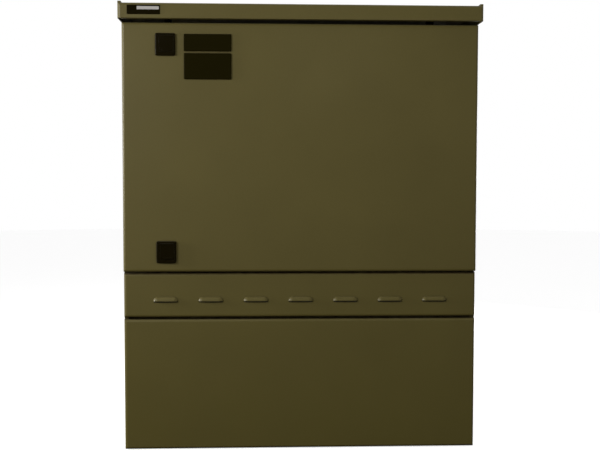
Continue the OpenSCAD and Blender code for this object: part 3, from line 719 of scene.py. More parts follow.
@dataclass(frozen=True)
class HotDipZinc(Finish):
    """Hot-dip galvanised steel with spangle."""

    dark: Colour = rgb(0.31, 0.32, 0.325)
    light: Colour = rgb(0.47, 0.48, 0.48)
    crystal_scale: float = 85.0
    oxide: Colour = rgb(0.56, 0.56, 0.54)
    dust_share: float = 0.30
    dust_scale: float = 11.0
    splash_share: float = 0.45
    splash_height: float = 0.2
    rubbed: Colour = rgb(0.62, 0.63, 0.63)
    wear_share: float = 0.4
    wear_scale: float = 80.0
    edge_radius: float = 0.0008
    metal_clean: float = 0.92
    metal_oxidised: float = 0.45
    oxidised_at: float = 0.5
    dull: float = 0.52
    smooth: float = 0.36
    oxide_dulls: float = 0.4

    def paint(self, desk: NodeDesk, shader: bpy.types.Node, shelf: GroupShelf) -> None:
        """Crystals of differing grey and gloss, with pale oxide and dust.

        Args:
            desk: The material's desk.
            shader: Its Principled shader.
            shelf: Where the shared effects come from.
        """
        spangle = shelf.lay(desk, Effect.SPANGLE, Crystal_Scale=self.crystal_scale)
        wear = shelf.lay(desk, Effect.EDGE_WEAR, Radius=self.edge_radius, Breakup_Scale=self.wear_scale)
        dust = shelf.lay(desk, Effect.SETTLED_DUST,
                         Splash_Height=self.splash_height, Breakup_Scale=self.dust_scale)
        top = desk.times(dust["Top Dust"], self.dust_share)
        cover = desk.math("MAXIMUM", top, desk.times(dust["Splash"], self.splash_share))
        tone = desk.mix(spangle["Tone"], self.dark, self.light)
        aged = desk.mix(cover, tone, self.oxide)
        clean_rough = desk.between(spangle["Tone"], self.dull, self.smooth)
        desk.fill(
            shader,
            Base_Color=desk.tint(wear["Mask"], self.wear_share, aged, self.rubbed),
            Metallic=desk.remap(cover, 0.0, self.oxidised_at, self.metal_clean, self.metal_oxidised),
            Roughness=desk.math("ADD", clean_rough, desk.times(cover, self.oxide_dulls), clamp=True),
        )
        self.relief(desk, shader, spangle["Height"], wear["Rounded Normal"])


@dataclass(frozen=True)
class WovenWire(Finish):
    """Fine woven wire cloth."""

    relief_strength: float = 0.6
    relief_depth: float = 0.0004
    wire: Colour = rgb(0.085, 0.085, 0.080)
    bright: Colour = rgb(0.13, 0.13, 0.12)
    bright_share: float = 0.4
    line_scale: float = 900.0
    # The openings are painted dark as shade instead of being left open.
    opening_shade: Colour = rgb(0.012, 0.012, 0.012)
    pitch: float = 0.0022
    metal: float = 0.85
    hole_rough: float = 0.9
    wire_rough: float = 0.42

    def paint(self, desk: NodeDesk, shader: bpy.types.Node, shelf: GroupShelf) -> None:
        """Grey wires over openings painted dark as the shade behind them.

        Args:
            desk: The material's desk.
            shader: Its Principled shader.
            shelf: Where the shared effects come from.
        """
        weave = shelf.lay(desk, Effect.WIRE_WEAVE, Pitch=self.pitch)
        lines = shelf.lay(desk, Effect.DRAWN_LINES, Line_Scale=self.line_scale)
        tone = desk.tint(lines["Tone"], self.bright_share, self.wire, self.bright)
        desk.fill(
            shader,
            # Painted shade fills the openings between the wires.
            Base_Color=desk.mix(weave["Wire"], self.opening_shade, tone),
            Metallic=desk.times(weave["Wire"], self.metal),
            Roughness=desk.between(weave["Wire"], self.hole_rough, self.wire_rough),
        )
        self.relief(desk, shader, weave["Height"], desk.face_normal())


@dataclass(frozen=True)
class PlatedMetal(Finish):
    """Bright drawn or plated metal."""

    relief_strength: float = 0.08
    relief_depth: float = 0.0002
    dark: Colour = rgb(0.44, 0.44, 0.43)
    light: Colour = rgb(0.66, 0.66, 0.65)
    line_scale: float = 1500.0
    tarnish: Colour = rgb(0.30, 0.29, 0.27)
    tarnish_share: float = 0.35
    tarnish_scale: float = 60.0
    tarnished_metal: float = 0.86
    grain_scale: float = 900.0
    wear_share: float = 0.5
    wear_scale: float = 150.0
    edge_radius: float = 0.0005
    smooth: float = 0.26
    dull: float = 0.42

    def paint(self, desk: NodeDesk, shader: bpy.types.Node, shelf: GroupShelf) -> None:
        """Fine lines, uneven gloss, patches of tarnish and bright edges.

        Args:
            desk: The material's desk.
            shader: Its Principled shader.
            shelf: Where the shared effects come from.
        """
        lines = shelf.lay(desk, Effect.DRAWN_LINES, Line_Scale=self.line_scale)
        wear = shelf.lay(desk, Effect.EDGE_WEAR, Radius=self.edge_radius, Breakup_Scale=self.wear_scale)
        grain = shelf.lay(desk, Effect.MOULD_GRAIN,
                          Grain_Scale=self.grain_scale, Scuff_Scale=self.tarnish_scale)
        tone = desk.mix(lines["Tone"], self.dark, self.light)
        aged = desk.tint(grain["Scuff"], self.tarnish_share, tone, self.tarnish)
        desk.fill(
            shader,
            Base_Color=desk.tint(wear["Mask"], self.wear_share, aged, self.light),
            Metallic=desk.between(grain["Scuff"], 1.0, self.tarnished_metal),
            Roughness=desk.between(lines["Tone"], self.dull, self.smooth),
        )
        self.relief(desk, shader, lines["Height"], wear["Rounded Normal"])


@dataclass(frozen=True)
class SealRubber(Finish):
    """Matt black rubber with bloom."""

    relief_strength: float = 0.15
    dark: Colour = rgb(0.011, 0.011, 0.011)
    grain_scale: float = 1100.0
    bloom: Colour = rgb(0.040, 0.040, 0.038)
    bloom_share: float = 0.6
    bloom_scale: float = 28.0
    dust: Colour = rgb(0.13, 0.12, 0.10)
    dust_share: float = 0.30
    dust_scale: float = 22.0
    smooth: float = 0.58
    dull: float = 0.74
    specular: float = 0.35

    def paint(self, desk: NodeDesk, shader: bpy.types.Node, shelf: GroupShelf) -> None:
        """Black with pale bloom, dust and a soft grain.

        Args:
            desk: The material's desk.
            shader: Its Principled shader.
            shelf: Where the shared effects come from.
        """
        grain = shelf.lay(desk, Effect.MOULD_GRAIN,
                          Grain_Scale=self.grain_scale, Scuff_Scale=self.bloom_scale)
        dust = shelf.lay(desk, Effect.SETTLED_DUST, Breakup_Scale=self.dust_scale)
        tone = desk.tint(grain["Scuff"], self.bloom_share, self.dark, self.bloom)
        desk.fill(
            shader,
            Base_Color=desk.tint(dust["Top Dust"], self.dust_share, tone, self.dust),
            Roughness=desk.between(grain["Tone"], self.smooth, self.dull),
            Specular_IOR_Level=self.specular,
        )
        self.relief(desk, shader, grain["Height"], desk.face_normal())


class Wardrobe:
    """All finishes of the cabinet, made once."""

    FINISHES: dict[Coat, Finish] = {
        Coat.OLIVE: PowderCoat("olive_powder_coat"),
        # The vent panel takes more painted shade, darkening the undersides of its louvre hoods.
        Coat.VENT: PowderCoat("vent_powder_coat", dust_share=0.10, joint_shade_clear=0.82, joint_shade_full=0.54),
        Coat.GALVANISED: HotDipZinc("hot_dip_zinc"),
        Coat.STRIP: HotDipZinc(
            "galvanised_strip", dark=rgb(0.56, 0.57, 0.57), light=rgb(0.70, 0.71, 0.70), crystal_scale=320.0,
        ),
        Coat.SCREEN: WovenWire("woven_wire"),
        Coat.ZINC: PlatedMetal("zinc_plate"),
        Coat.BLACK: MouldedPlastic("gloss_black_plastic"),
        Coat.PLATE: MouldedPlastic(
            "satin_dark_plate", dark=rgb(0.0058, 0.0045, 0.0004), light=rgb(0.0084, 0.0068, 0.0007),
            worn=rgb(0.0020, 0.0012, 0.0002), edge_radius=0.0016,
            smooth=0.50, dull=0.64, specular=0.012, relief_strength=0.2,
        ),
        Coat.BADGE: BarredPlate(
            "barred_badge_plate", worn=rgb(0.0020, 0.0012, 0.0002), edge_radius=0.0010,
            smooth=0.50, dull=0.64, specular=0.012, node="roof_badge",
        ),
        Coat.RUBBER: SealRubber("seal_rubber"),
        Coat.BRASS: PlatedMetal(
            "drawn_brass", dark=rgb(0.42, 0.27, 0.085), light=rgb(0.66, 0.47, 0.18),
            tarnish=rgb(0.20, 0.12, 0.045),
        ),
    }

    def __init__(self, shelf: GroupShelf) -> None:
        """Makes every finish with the shelf's effects."""
        self._made = {coat: finish.make(shelf) for coat, finish in self.FINISHES.items()}

    def dress(self, coat: Coat, nodes: Iterable[str]) -> None:
        """Gives a finish to solids of the frame.

        Args:
            coat: The finish.
            nodes: Names of the solids.
        """
        for name in nodes:
            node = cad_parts[name]
            if not node.material_slots:
                node.data.materials.append(None)
            for slot in node.material_slots:
                slot.material = self._made[coat]
            LOG.info("dressed %s in %s", name, coat.value)

    def hand_over(self, piece: bpy.types.Object, coat: Coat, body: Body) -> bpy.types.Object:
        """Finishes a new piece and fixes it to a body.

        Args:
            piece: The new piece, in place.
            coat: Its finish.
            body: What it moves with.

        Returns:
            The same piece.
        """
        piece.data.materials.append(self._made[coat])
        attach(piece, body.value)
        LOG.info("built %s on %s, %d faces", piece.name, body.value, len(piece.data.polygons))
        return piece


@dataclass(frozen=True)
class Seat:
    """Where a turned form stands: the centre of its foot and its outward direction."""

    at: Vector
    axis: Vector

    def point(self, radius: float, angle: float, height: float) -> Vector:
        """A point at a radius, an angle and a height over the foot."""
        turn = UPWARD.rotation_difference(self.axis).to_matrix()
        return self.at + turn @ Vector((radius * math.cos(angle), radius * math.sin(angle), height))

    def ring(self, radius: float, height: float, steps: int) -> list[Vector]:
        """Points spaced evenly round the axis, or one point on it where there is no radius."""
        count = 1 if radius < POINT_RADIUS else steps
        return [self.point(radius, math.tau * i / count, height) for i in range(count)]


@dataclass
class MeshDraft:
    """Points and faces of one piece, gathered form by form, in metres."""

    points: list[Vector] = field(default_factory=list)
    faces: list[tuple[int, ...]] = field(default_factory=list)

    def _rings(self, rings: Sequence[Sequence[Vector]]) -> None:
        """Joins closed rings of points; a ring of one point closes the form.

        Args:
            rings: The rings in order, each with the same number of points or with one.
        """
        starts = []
        for ring in rings:
            starts.append(len(self.points))
            self.points.extend(ring)
        for (low, first), (high, second) in zip(zip(starts, rings), zip(starts[1:], rings[1:])):
            count = max(len(first), len(second))
            for i in range(count):
                j = (i + 1) % count
                if len(first) == 1:
                    self.faces.append((low, high + i, high + j))
                elif len(second) == 1:
                    self.faces.append((low + i, low + j, high))
                else:
                    self.faces.append((low + i, low + j, high + j, high + i))

    def revolve(self, profile: Profile, seat: Seat, steps: int) -> None:
        """Turns a profile, given as pairs of radius and height, round the axis of a seat."""
        self._rings([seat.ring(radius, height, steps) for radius, height in profile])

    def rivet_head(self, seat: Seat, radius: float, height: float) -> None:
        """Adds the set head of a blind rivet: a low dome with the dimple of its mandrel.

        Args:
            seat: Where it sits on the sheet.
            radius: Radius of the head.
            height: How far it stands proud.
        """
        sink = 0.0006
        profile = [(0.0, -sink), (radius, -sink), (radius, 0.12 * height)]
        profile += [(radius * math.cos(a), height * math.sin(a)) for a in (0.25, 0.55, 0.85, 1.1)]
        profile += [(radius * 0.32, height), (radius * 0.28, height * 0.72), (0.0, height * 0.66)]
        self.revolve(profile, seat, steps=28)

    def weld_spot(self, seat: Seat, radius: float) -> None:
        """Adds the shallow ringed mark of a spot weld.

        Args:
            seat: Where it sits on the sheet.
            radius: Radius of the ring.
        """
        foot = [(0.0, -SUNK), (radius, -SUNK), (radius, 0.00005)]
        ridge = [(radius * 0.9, 0.0003), (radius * 0.75, 0.00035), (radius * 0.6, 0.00012)]
        hollow = [(radius * 0.35, 0.00008), (0.0, 0.00012)]
        self.revolve(foot + ridge + hollow, seat, steps=24)

    def pan_head(self, seat: Seat, radius: float, height: float, turned: float) -> None:
        """Adds a pan screw head with a cross recess on a washer.

        Args:
            seat: Where it sits on the surface.
            radius: Radius of the head.
            height: How far it stands proud.
            turned: Angle that the recess is turned by.
        """
        steps, thick = 48, 0.0008
        washer = [(0.0, -SUNK), (radius * 1.35, -SUNK), (radius * 1.38, thick * 0.5), (radius * 1.33, thick)]
        side = [(radius, thick), (radius, height * 0.6)]
        shoulder = [(radius * 0.96, height * 0.78), (radius * 0.86, height * 0.92)]
        rings = [seat.ring(reach, rise, steps) for reach, rise in washer + side + shoulder]
        slot_half, slot_reach = radius * 0.13, radius * 0.56
        crown, recess, middle = height * 0.98, height * 0.36, height * 0.3
        for share in (0.74, *spread(0.62, 0.14, 7)):
            reach = radius * share
            ring = []
            for angle in (math.tau * i / steps for i in range(steps)):
                off_slot = min(abs(reach * math.cos(angle)), abs(reach * math.sin(angle)))
                recessed = reach < slot_reach and off_slot < slot_half
                ring.append(seat.point(reach, angle + turned, recess if recessed else crown))
            rings.append(ring)
        rings.append(seat.ring(0.0, middle, steps))
        self._rings(rings)

    def hex_head(self, seat: Seat, radius: float, height: float, turned: float) -> None:
        """Adds a chamfered hexagon head on a flat washer.

        Args:
            seat: Where it sits on the surface.
            radius: Corner radius of the head.
            height: How far it stands proud of the washer.
            turned: Angle that the hexagon is turned by.
        """
        thick = 0.0012
        washer = [(0.0, -SUNK), (radius * 1.45, -SUNK), (radius * 1.48, thick * 0.4)]
        washer += [(radius * 1.42, thick), (0.0, thick)]
        self.revolve(washer, seat, steps=32)
        foot, shoulder = thick * 0.5, thick + height * 0.82
        top, dish = thick + height, thick + height * 0.94
        rings = [seat.ring(0.0, foot, 1)]
        for reach, rise, roundness in (
            (radius, foot, 0.0),
            (radius, shoulder, 0.0),
            (radius, top, 0.9),
            (radius * 0.8, top, 1.0),
            (radius * 0.72, dish, 1.0),
        ):
            rings.append(self._hex_ring(seat, reach, rise, roundness, turned))
        rings.append(seat.ring(0.0, dish, 1))
        self._rings(rings)

    @staticmethod
    def _hex_ring(seat: Seat, radius: float, height: float, roundness: float, turned: float) -> list[Vector]:
        """A ring between a hexagon and the circle inside it.

        Args:
            seat: What it stands on.
            radius: Corner radius of the hexagon.
            height: Height over the seat.
            roundness: Share of the circle.
            turned: Angle that the hexagon is turned by.

        Returns:
            The ring's points.
        """
        steps, side_angle = 36, math.pi / 3.0
        inside = radius * 0.86
        ring = []
        for angle in (math.tau * i / steps for i in range(steps)):
            flat = radius * math.cos(side_angle / 2.0) / math.cos(angle % side_angle - side_angle / 2.0)
            ring.append(seat.point(flat + (inside - flat) * roundness, angle + turned, height))
        return ring

    def sweep(self, path: Sequence[tuple[Vector, Vector]], upward: Vector, profile: Profile) -> None:
        """Carries a closed profile round a closed path.

        Args:
            path: Points with their outward directions.
            upward: Direction of the profile's height.
            profile: Pairs of outward reach and height.
        """
        start, count = len(self.points), len(profile)
        for point, outward in path:
            self.points.extend(point + outward * reach + upward * height for reach, height in profile)
        for k in range(len(path)):
            here, there = start + k * count, start + ((k + 1) % len(path)) * count
            for i in range(count):
                j = (i + 1) % count
                self.faces.append((here + i, here + j, there + j, there + i))

    def finish(self, name: str, sharp: float = 35.0) -> bpy.types.Object:
        """Makes the object.

        Args:
            name: Its name.
            sharp: Angle in degrees above which an edge stays sharp.

        Returns:
            The object, at the frame's origin.
        """
        mesh = bpy.data.meshes.new(name)
        mesh.from_pydata([tuple(point) for point in self.points], [], self.faces)
        work = bmesh.new()
        work.from_mesh(mesh)
        bmesh.ops.recalc_face_normals(work, faces=work.faces)
        work.to_mesh(mesh)
        work.free()
        mesh.shade_smooth()
        mesh.set_sharp_from_angle(angle=math.radians(sharp))
        made = bpy.data.objects.new(name, mesh)
        bpy.context.scene.collection.objects.link(made)
        return made


@dataclass
class Assembly(ABC):
    """A sub-assembly: the solids that it dresses and the small pieces that it adds."""

    wardrobe: Wardrobe

    @abstractmethod
    def dress(self) -> None:
        """Gives the solids their finishes."""

    def build(self) -> None:
        """Adds the small pieces; an assembly with none leaves this as it is."""


@dataclass
class HousingShell(Assembly):
    """Side walls, rear wall, top plate and door frame."""

    rivet_radius: float = 0.0042
    rivet_height: float = 0.0016
    return_inset: float = 0.014
    return_foot: float = 0.09
    return_head: float = 0.05
    return_count: int = 9
    base_row_z: float = 0.032
    rear_inset: float = 0.08
    rear_count: int = 5
    flank_front: float = 0.06
    flank_rear: float = 0.045
    flank_count: int = 4

    def dress(self) -> None:
        """Paints the sheet-metal walls."""
        self.wardrobe.dress(Coat.OLIVE, ("left_side_panel", "right_side_panel", "rear_panel", "top_plate"))
        self.wardrobe.dress(Coat.OLIVE, ("header_rail", "sill_rail"))

    def build(self) -> None:
        """Sets the rivets that hold the rear wall and the base frame."""
        low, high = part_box("right_side_panel")
        wall_low, wall_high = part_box("rear_panel")
        rear, flanks = MeshDraft(), MeshDraft()
        for side in (-1.0, 1.0):
            for z in spread(low.z + self.return_foot, high.z - self.return_head, self.return_count):
                at = Vector((side * (high.x - self.return_inset), high.y, z))
                rear.rivet_head(Seat(at, REARWARD), self.rivet_radius, self.rivet_height)
        for x in spread(wall_low.x + self.rear_inset, wall_high.x - self.rear_inset, self.rear_count):
            at = Vector((x, wall_high.y, self.base_row_z))
            rear.rivet_head(Seat(at, REARWARD), self.rivet_radius, self.rivet_height)
        for side, axis in ((-1.0, LEFT), (1.0, RIGHT)):
            for y in spread(low.y + self.flank_front, high.y - self.flank_rear, self.flank_count):
                at = Vector((side * high.x, y, self.base_row_z))
                flanks.rivet_head(Seat(at, axis), self.rivet_radius, self.rivet_height)
        self.wardrobe.hand_over(rear.finish("rear_rivets"), Coat.OLIVE, Body.HOUSING)
        self.wardrobe.hand_over(flanks.finish("side_rivets"), Coat.OLIVE, Body.HOUSING)


@dataclass
class Plinth(Assembly):
    """Base frame, cable entry, louvred vent panel and plinth cover."""

    grommet_count: int = 6
    groove_depth: float = 0.0032
    screw_radius: float = 0.0048
    screw_height: float = 0.0036
    screw_inset: float = 0.009
    screw_count: int = 4
    column_turn: float = 0.37
    row_turn: float = 0.8

    def dress(self) -> None:
        """Finishes the plinth's solids."""
        self.wardrobe.dress(Coat.VENT, ("vent_panel",))
        self.wardrobe.dress(Coat.OLIVE, ("plinth_cover", "cross_rail"))
        self.wardrobe.dress(Coat.GALVANISED, ("base_frame", "clamp_rail", "floor_plate", "gland_plate"))
        self.wardrobe.dress(Coat.SCREEN, ("insect_screen",))
        self.wardrobe.dress(Coat.ZINC, ("panel_bolts", "panel_nuts"))

    def build(self) -> None:
        """Makes the blank grommets and the gland plate's screws, each turned to another angle."""
        self._grommets()
        low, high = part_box("gland_plate")
        screws = MeshDraft()
        for i, x in enumerate(spread(low.x + self.screw_inset, high.x - self.screw_inset, self.screw_count)):
            for k, y in enumerate((low.y + self.screw_inset, high.y - self.screw_inset)):
                seat = Seat(Vector((x, y, high.z)), UPWARD)
                turned = self.column_turn * i + self.row_turn * k
                screws.hex_head(seat, self.screw_radius, self.screw_height, turned)
        self.wardrobe.hand_over(screws.finish("gland_plate_screws"), Coat.ZINC, Body.HOUSING)

    def _grommets(self) -> None:
        """Turns each grommet as a stepped cone that grips the plate's hole."""
        low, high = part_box("cable_grommets")
        plate_low, plate_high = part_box("gland_plate")
        rim = (high.y - low.y) / 2.0
        bore = rim - self.groove_depth
        under, over = plate_low.z, plate_high.z
        profile = [(0.0, low.z + 0.0012), (rim * 0.30, low.z + 0.0008), (rim * 0.34, low.z)]
        profile += [(rim * 0.90, low.z), (rim * 0.97, low.z + 0.0006), (rim, low.z + 0.0016)]
        profile += [(rim, under - 0.0005), (rim * 0.99, under), (bore, under)]
        profile += [(bore, over), (rim * 0.99, over), (rim, over + 0.0005)]
        profile += [(rim * 0.985, over + 0.0012), (rim * 0.94, over + 0.0017)]
        for share, rise in ((0.80, 0.0017), (0.64, 0.0021), (0.48, 0.0025), (0.32, 0.0028)):
            tread = over + rise
            profile += [(rim * (share + 0.012), tread - 0.0004), (rim * share, tread)]
            profile += [(rim * (share - 0.12), tread)]
        profile += [(rim * 0.10, high.z), (0.0, high.z - 0.0008)]
        draft = MeshDraft()
        middle = (low.y + high.y) / 2.0
        for x in spread(low.x + rim, high.x - rim, self.grommet_count):
            draft.revolve(profile, Seat(Vector((x, middle, 0.0)), UPWARD), steps=48)
        piece = self.wardrobe.hand_over(draft.finish("grommet_boots", sharp=50.0), Coat.RUBBER, Body.HOUSING)
        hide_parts("cable_grommets")


@dataclass
class RainRoof(Assembly):
    """Overhanging roof with its spacers, nuts and plain badge plate."""

    def dress(self) -> None:
        """Paints the roof and finishes its fixings."""
        self.wardrobe.dress(Coat.OLIVE, ("rain_roof",))
        self.wardrobe.dress(Coat.BLACK, ("roof_spacers",))
        self.wardrobe.dress(Coat.ZINC, ("roof_nuts",))
        self.wardrobe.dress(Coat.BADGE, ("roof_badge",))


@dataclass
class EquipmentBay(Assembly):
    """Mounting plate, device rails and earth bar."""

    rail_skin: float = 0.001
    screw_radius: float = 0.0042
    screw_height: float = 0.0026
    screw_inset: float = 0.02
    screw_count: int = 4
    first_turn: float = 0.2
    next_turn: float = 0.5

    def dress(self) -> None:
        """Finishes the inner fittings."""
        self.wardrobe.dress(Coat.GALVANISED, ("mounting_plate",))
        self.wardrobe.dress(Coat.STRIP, ("upper_device_rail", "lower_device_rail"))
        self.wardrobe.dress(Coat.ZINC, ("mount_standoffs", "mount_nuts", "earth_screws"))
        self.wardrobe.dress(Coat.BRASS, ("earth_bar",))
        self.wardrobe.dress(Coat.BLACK, ("earth_insulators",))

    def build(self) -> None:
        """Screws the device rails to the mounting plate."""
        screws = MeshDraft()
        for level in Level:
            low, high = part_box(f"{level.value}_device_rail")
            places = spread(low.x + self.screw_inset, high.x - self.screw_inset, self.screw_count)
            for i, x in enumerate(places):
                seat = Seat(Vector((x, high.y - self.rail_skin, (low.z + high.z) / 2.0)), FORWARD)
                turned = self.next_turn * i + self.first_turn
                screws.pan_head(seat, self.screw_radius, self.screw_height, turned)
        self.wardrobe.hand_over(screws.finish("rail_screws"), Coat.ZINC, Body.HOUSING)


@dataclass
class HingePair(Assembly):
    """Two concealed hinges between door and frame."""

    leaf_thick: float = 0.003
    screw_radius: float = 0.0044
    screw_height: float = 0.0024
    screw_spread: float = 0.019
    arm_screw_inset: float = 0.0095
    arm_screw_turn: float = 0.3
    leaf_screw_inset: float = 0.0085
    leaf_screw_turn: float = 0.9

    def dress(self) -> None:
        """Finishes the hinges' solids."""
        for level in Level:
            parts = (f"{level.value}_hinge_{part}" for part in ("arm", "pin", "leaf"))
            self.wardrobe.dress(Coat.ZINC, parts)

    def build(self) -> None:
        """Adds the screws of both halves."""
        fixed, moving = MeshDraft(), MeshDraft()
        for level in Level:
            low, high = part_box(f"{level.value}_hinge_arm")
            leaf_low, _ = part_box(f"{level.value}_hinge_leaf")
            for k, side in enumerate((-1.0, 1.0)):
                z = (low.z + high.z) / 2.0 + side * self.screw_spread
                on_arm = Vector((low.x + self.arm_screw_inset, high.y - self.leaf_thick, z))
                on_leaf = Vector((leaf_low.x + self.leaf_screw_inset, leaf_low.y + self.leaf_thick, z))
                head = (self.screw_radius, self.screw_height)
                fixed.pan_head(Seat(on_arm, FORWARD), *head, turned=self.arm_screw_turn + k)
                moving.pan_head(Seat(on_leaf, REARWARD), *head, turned=self.leaf_screw_turn + k)
        self.wardrobe.hand_over(fixed.finish("hinge_arm_screws"), Coat.ZINC, Body.HOUSING)
        self.wardrobe.hand_over(moving.finish("hinge_leaf_screws"), Coat.ZINC, Body.DOOR)


@dataclass
class Door(Assembly):
    """Door pan with its seal, stiffeners, earth stud and dark plates."""

    seal_width: float = 0.012
    seal_corner: float = 0.016
    corner_points: int = 11
    lobe_points: int = 13
    stiffener_width: float = 0.05
    stiffener_sheet: float = 0.0015
    weld_radius: float = 0.0032
    weld_inset: float = 0.006
    weld_end: float = 0.02
    weld_count: int = 8
    nut_radius: float = 0.0058
    nut_height: float = 0.0048
    nut_seat: float = 0.002
    nut_turn: float = 0.4

    def dress(self) -> None:
        """Finishes the door's solids."""
        self.wardrobe.dress(Coat.OLIVE, ("door_panel", "door_stiffeners"))
        self.wardrobe.dress(Coat.ZINC, ("door_earth_stud",))
        self.wardrobe.dress(Coat.PLATE, ("upper_plate", "lower_plate"))

    def build(self) -> None:
        """Makes the bulb seal, the spot welds and the earth stud's nut."""
        self._seal()
        low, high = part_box("door_stiffeners")
        welds = MeshDraft()
        for edge in (low.x, high.x - self.stiffener_width):
            for x in (edge + self.weld_inset, edge + self.stiffener_width - self.weld_inset):
                for z in spread(low.z + self.weld_end, high.z - self.weld_end, self.weld_count):
                    at = Vector((x, low.y + self.stiffener_sheet, z))
                    welds.weld_spot(Seat(at, REARWARD), self.weld_radius)
        self.wardrobe.hand_over(welds.finish("stiffener_welds"), Coat.OLIVE, Body.DOOR)
        stud_low, stud_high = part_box("door_earth_stud")
        centre = (stud_low + stud_high) / 2.0
        nut = MeshDraft()
        seat = Seat(Vector((centre.x, stud_low.y + self.nut_seat, centre.z)), REARWARD)
        nut.hex_head(seat, self.nut_radius, self.nut_height, self.nut_turn)
        self.wardrobe.hand_over(nut.finish("earth_stud_nut"), Coat.BRASS, Body.DOOR)

    def _seal(self) -> None:
        """Carries a bulb profile round the door's inside."""
        low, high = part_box("door_gasket")
        half, corner, tall = self.seal_width / 2.0, self.seal_corner, high.y - low.y
        left, right = low.x + half + corner, high.x - half - corner
        foot, head = low.z + half + corner, high.z - half - corner
        path: list[tuple[Vector, Vector]] = []
        for x, z, start in ((right, head, 0.0), (left, head, 0.5), (left, foot, 1.0), (right, foot, 1.5)):
            for half_turns in spread(start, start + 0.5, self.corner_points):
                outward = Vector((math.cos(math.pi * half_turns), 0.0, math.sin(math.pi * half_turns)))
                path.append((Vector((x, low.y, z)) + outward * corner, outward))
        flank = [(half, tall * 0.16), (half * 0.78, tall * 0.26), (half * 0.66, tall * 0.30)]
        lobe_height, lobe_width, lobe_middle = tall * 0.36, tall * 0.36 * 1.45, tall * 0.64
        lobe = []
        for angle in spread(math.radians(-20.0), math.radians(200.0), self.lobe_points):
            lobe.append((lobe_width * math.cos(angle), lobe_middle + lobe_height * math.sin(angle)))
        other_flank = [(-reach, rise) for reach, rise in reversed(flank)]
        draft = MeshDraft()
        draft.sweep(path, REARWARD, [(-half, 0.0), (half, 0.0), *flank, *lobe, *other_flank])
        piece = self.wardrobe.hand_over(draft.finish("door_seal", sharp=50.0), Coat.RUBBER, Body.DOOR)
        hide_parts("door_gasket")


@dataclass
class QuarterTurnLock(Assembly):
    """One lock with its nut, spindle, cam and dust flap."""

    level: Level

    def dress(self) -> None:
        """Finishes the lock's solids."""
        name = self.level.value
        metal_parts = ("lock_nut", "lock_spindle", "lock_cam", "cam_screw")
        self.wardrobe.dress(Coat.BLACK, (f"{name}_lock_body", f"{name}_lock_flap"))
        self.wardrobe.dress(Coat.ZINC, (f"{name}_{part}" for part in metal_parts))


@dataclass
class AreaLamp:
    """A rectangular soft lamp."""

    name: str
    at: Place
    aim: Place
    width: float
    height: float
    watts: float
    mirrored: bool = True

    def build(self) -> None:
        """Hangs the lamp and points it."""
        data = bpy.data.lights.new(self.name, "AREA")
        data.shape = "RECTANGLE"
        data.size, data.size_y, data.energy = self.width, self.height, self.watts
        lamp = bpy.data.objects.new(self.name, data)
        lamp.location = self.at
        lamp.visible_glossy = self.mirrored
        lamp.rotation_euler = (Vector(self.aim) - Vector(self.at)).to_track_quat("-Z", "Y").to_euler()
        bpy.context.scene.collection.objects.link(lamp)
        LOG.info("hung %s", self.name)


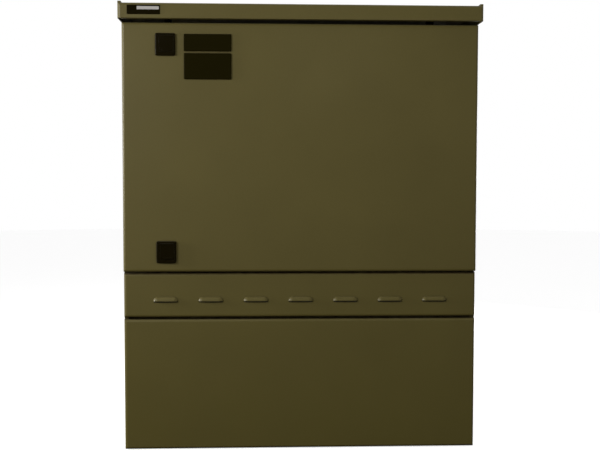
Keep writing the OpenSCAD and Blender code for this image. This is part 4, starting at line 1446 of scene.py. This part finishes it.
@dataclass
class Studio:
    """Pale floor, white surroundings, soft lamps and the camera."""

    fill: float = 1.08
    fill_overhead: float = 0.12
    fill_rise: Span = (0.15, 0.70)
    mirrored_front: float = 0.05
    mirrored_depth: Span = (-0.75, 0.35)
    mirrored_right: float = 0.60
    mirrored_across: Span = (-0.2, 0.6)
    floor_reach: float = 9.0
    floor_steps: int = 64
    floor_seen: Colour = rgb(0.88, 0.88, 0.88)
    floor_bounce: Colour = rgb(0.15, 0.125, 0.06)
    floor_lift: float = 0.68
    floor_gloss: float = 0.05
    camera_at: Place = (-0.085, -2.16125, 0.607)
    camera_pitch: float = 2.918
    camera_yaw: float = -2.358
    camera_roll: float = 0.10
    camera_range: Span = (0.05, 60.0)
    sensor: float = 36.0
    lens: float = 54.42
    lamps: tuple[AreaLamp, ...] = (
        AreaLamp("key_lamp", (-1.20, -1.30, 1.10), (0.0, -0.1, 0.98), 0.35, 0.35, 11.9),
        AreaLamp("front_lamp", (0.15, -1.35, 1.02), (0.05, -0.1, 1.0), 0.40, 0.30, 5.2, mirrored=False),
        AreaLamp("left_lamp", (-1.7, -0.29, 0.74), (-0.35, -0.1, 0.74), 0.3, 0.46, 27.0),
        AreaLamp("rear_lamp", (1.6, 1.7, 0.60), (0.1, 0.0, 0.55), 0.8, 0.7, 22.0),
    )

    def build(self) -> None:
        """Sets up everything round the object."""
        bpy.context.scene.view_settings.view_transform = "Standard"
        self._floor()
        self._world()
        for lamp in self.lamps:
            lamp.build()
        self._camera()

    def _floor(self) -> None:
        """Lays a pale round floor that keeps the object's shadow."""
        mesh = bpy.data.meshes.new("studio_floor")
        rim = Seat(Vector((0.0, 0.0, 0.0)), UPWARD).ring(self.floor_reach, 0.0, self.floor_steps)
        mesh.from_pydata([tuple(point) for point in rim], [], [tuple(range(self.floor_steps))])
        mesh.materials.append(self._floor_material())
        floor = bpy.data.objects.new("studio_floor", mesh)
        bpy.context.scene.collection.objects.link(floor)

    def _floor_material(self) -> bpy.types.Material:
        """Makes a floor that is nearly white to the eye and throws little light on the object.

        Returns:
            The floor's material.
        """
        material = bpy.data.materials.new("studio_floor")
        material.use_nodes = True
        material.node_tree.nodes.clear()
        desk = NodeDesk(material.node_tree)
        path = desk.node("ShaderNodeLightPath").outputs
        mirrored = desk.times(path["Is Glossy Ray"], self.floor_gloss)
        indirect = desk.math("MAXIMUM", mirrored, path["Is Transmission Ray"])
        seen = desk.math("MAXIMUM", path["Is Camera Ray"], indirect)
        tone = desk.mix(seen, self.floor_bounce, self.floor_seen)
        diffuse = desk.fill(desk.node("ShaderNodeBsdfDiffuse"), Color=tone)
        glow = desk.fill(desk.node("ShaderNodeEmission"), Strength=desk.times(seen, self.floor_lift))
        both = desk.node("ShaderNodeAddShader")
        desk.feed(both.inputs[0], diffuse.outputs[0])
        desk.feed(both.inputs[1], glow.outputs[0])
        desk.fill(desk.node("ShaderNodeOutputMaterial"), Surface=both.outputs[0])
        return material

    def _world(self) -> None:
        """White to the eye, a soft fill on the object, and dimmer towards the front in reflections."""
        world = bpy.data.worlds.new("studio_surroundings")
        bpy.context.scene.world = world
        world.use_nodes = True
        world.node_tree.nodes.clear()
        desk = NodeDesk(world.node_tree)
        path = desk.node("ShaderNodeLightPath").outputs
        way = desk.axes(desk.node("ShaderNodeTexCoord").outputs["Generated"])
        depth = desk.remap(way["Y"], *self.mirrored_depth, self.mirrored_front, 1.0)
        across = desk.remap(way["X"], *self.mirrored_across, 1.0, self.mirrored_right)
        level = desk.remap(way["Z"], *self.fill_rise, self.fill, self.fill_overhead * self.fill)
        unseen = desk.between(path["Is Glossy Ray"], level, desk.times(depth, across))
        seen = desk.math("MAXIMUM", path["Is Camera Ray"], path["Is Transmission Ray"])
        background = desk.node("ShaderNodeBackground")
        desk.fill(background, Color=rgb(1.0, 1.0, 1.0), Strength=desk.between(seen, unseen, 1.0))
        desk.fill(desk.node("ShaderNodeOutputWorld"), Surface=background.outputs[0])

    def _camera(self) -> None:
        """Stands the camera where the cabinet is seen from."""
        data = bpy.data.cameras.new("camera")
        data.sensor_fit, data.sensor_width, data.lens = "HORIZONTAL", self.sensor, self.lens
        data.clip_start, data.clip_end = self.camera_range
        camera = bpy.data.objects.new("camera", data)
        yaw = Matrix.Rotation(math.radians(self.camera_yaw), 4, "Z")
        pitch = Matrix.Rotation(math.radians(90.0 - self.camera_pitch), 4, "X")
        roll = Matrix.Rotation(math.radians(self.camera_roll), 4, "Z")
        camera.matrix_world = Matrix.Translation(self.camera_at) @ yaw @ pitch @ roll
        bpy.context.scene.collection.objects.link(camera)
        bpy.context.scene.camera = camera


def main() -> None:
    """Builds and dresses the cabinet, part by part."""
    logging.basicConfig(level=logging.INFO, format="%(name)s: %(message)s")
    Studio().build()
    wardrobe = Wardrobe(GroupShelf())
    assemblies: tuple[Assembly, ...] = (
        HousingShell(wardrobe),
        Plinth(wardrobe),
        EquipmentBay(wardrobe),
        HingePair(wardrobe),
        Door(wardrobe),
        RainRoof(wardrobe),
        *(QuarterTurnLock(wardrobe, level) for level in Level),
    )
    for assembly in assemblies:
        assembly.dress()
        assembly.build()


if __name__ == "__main__":
    main()
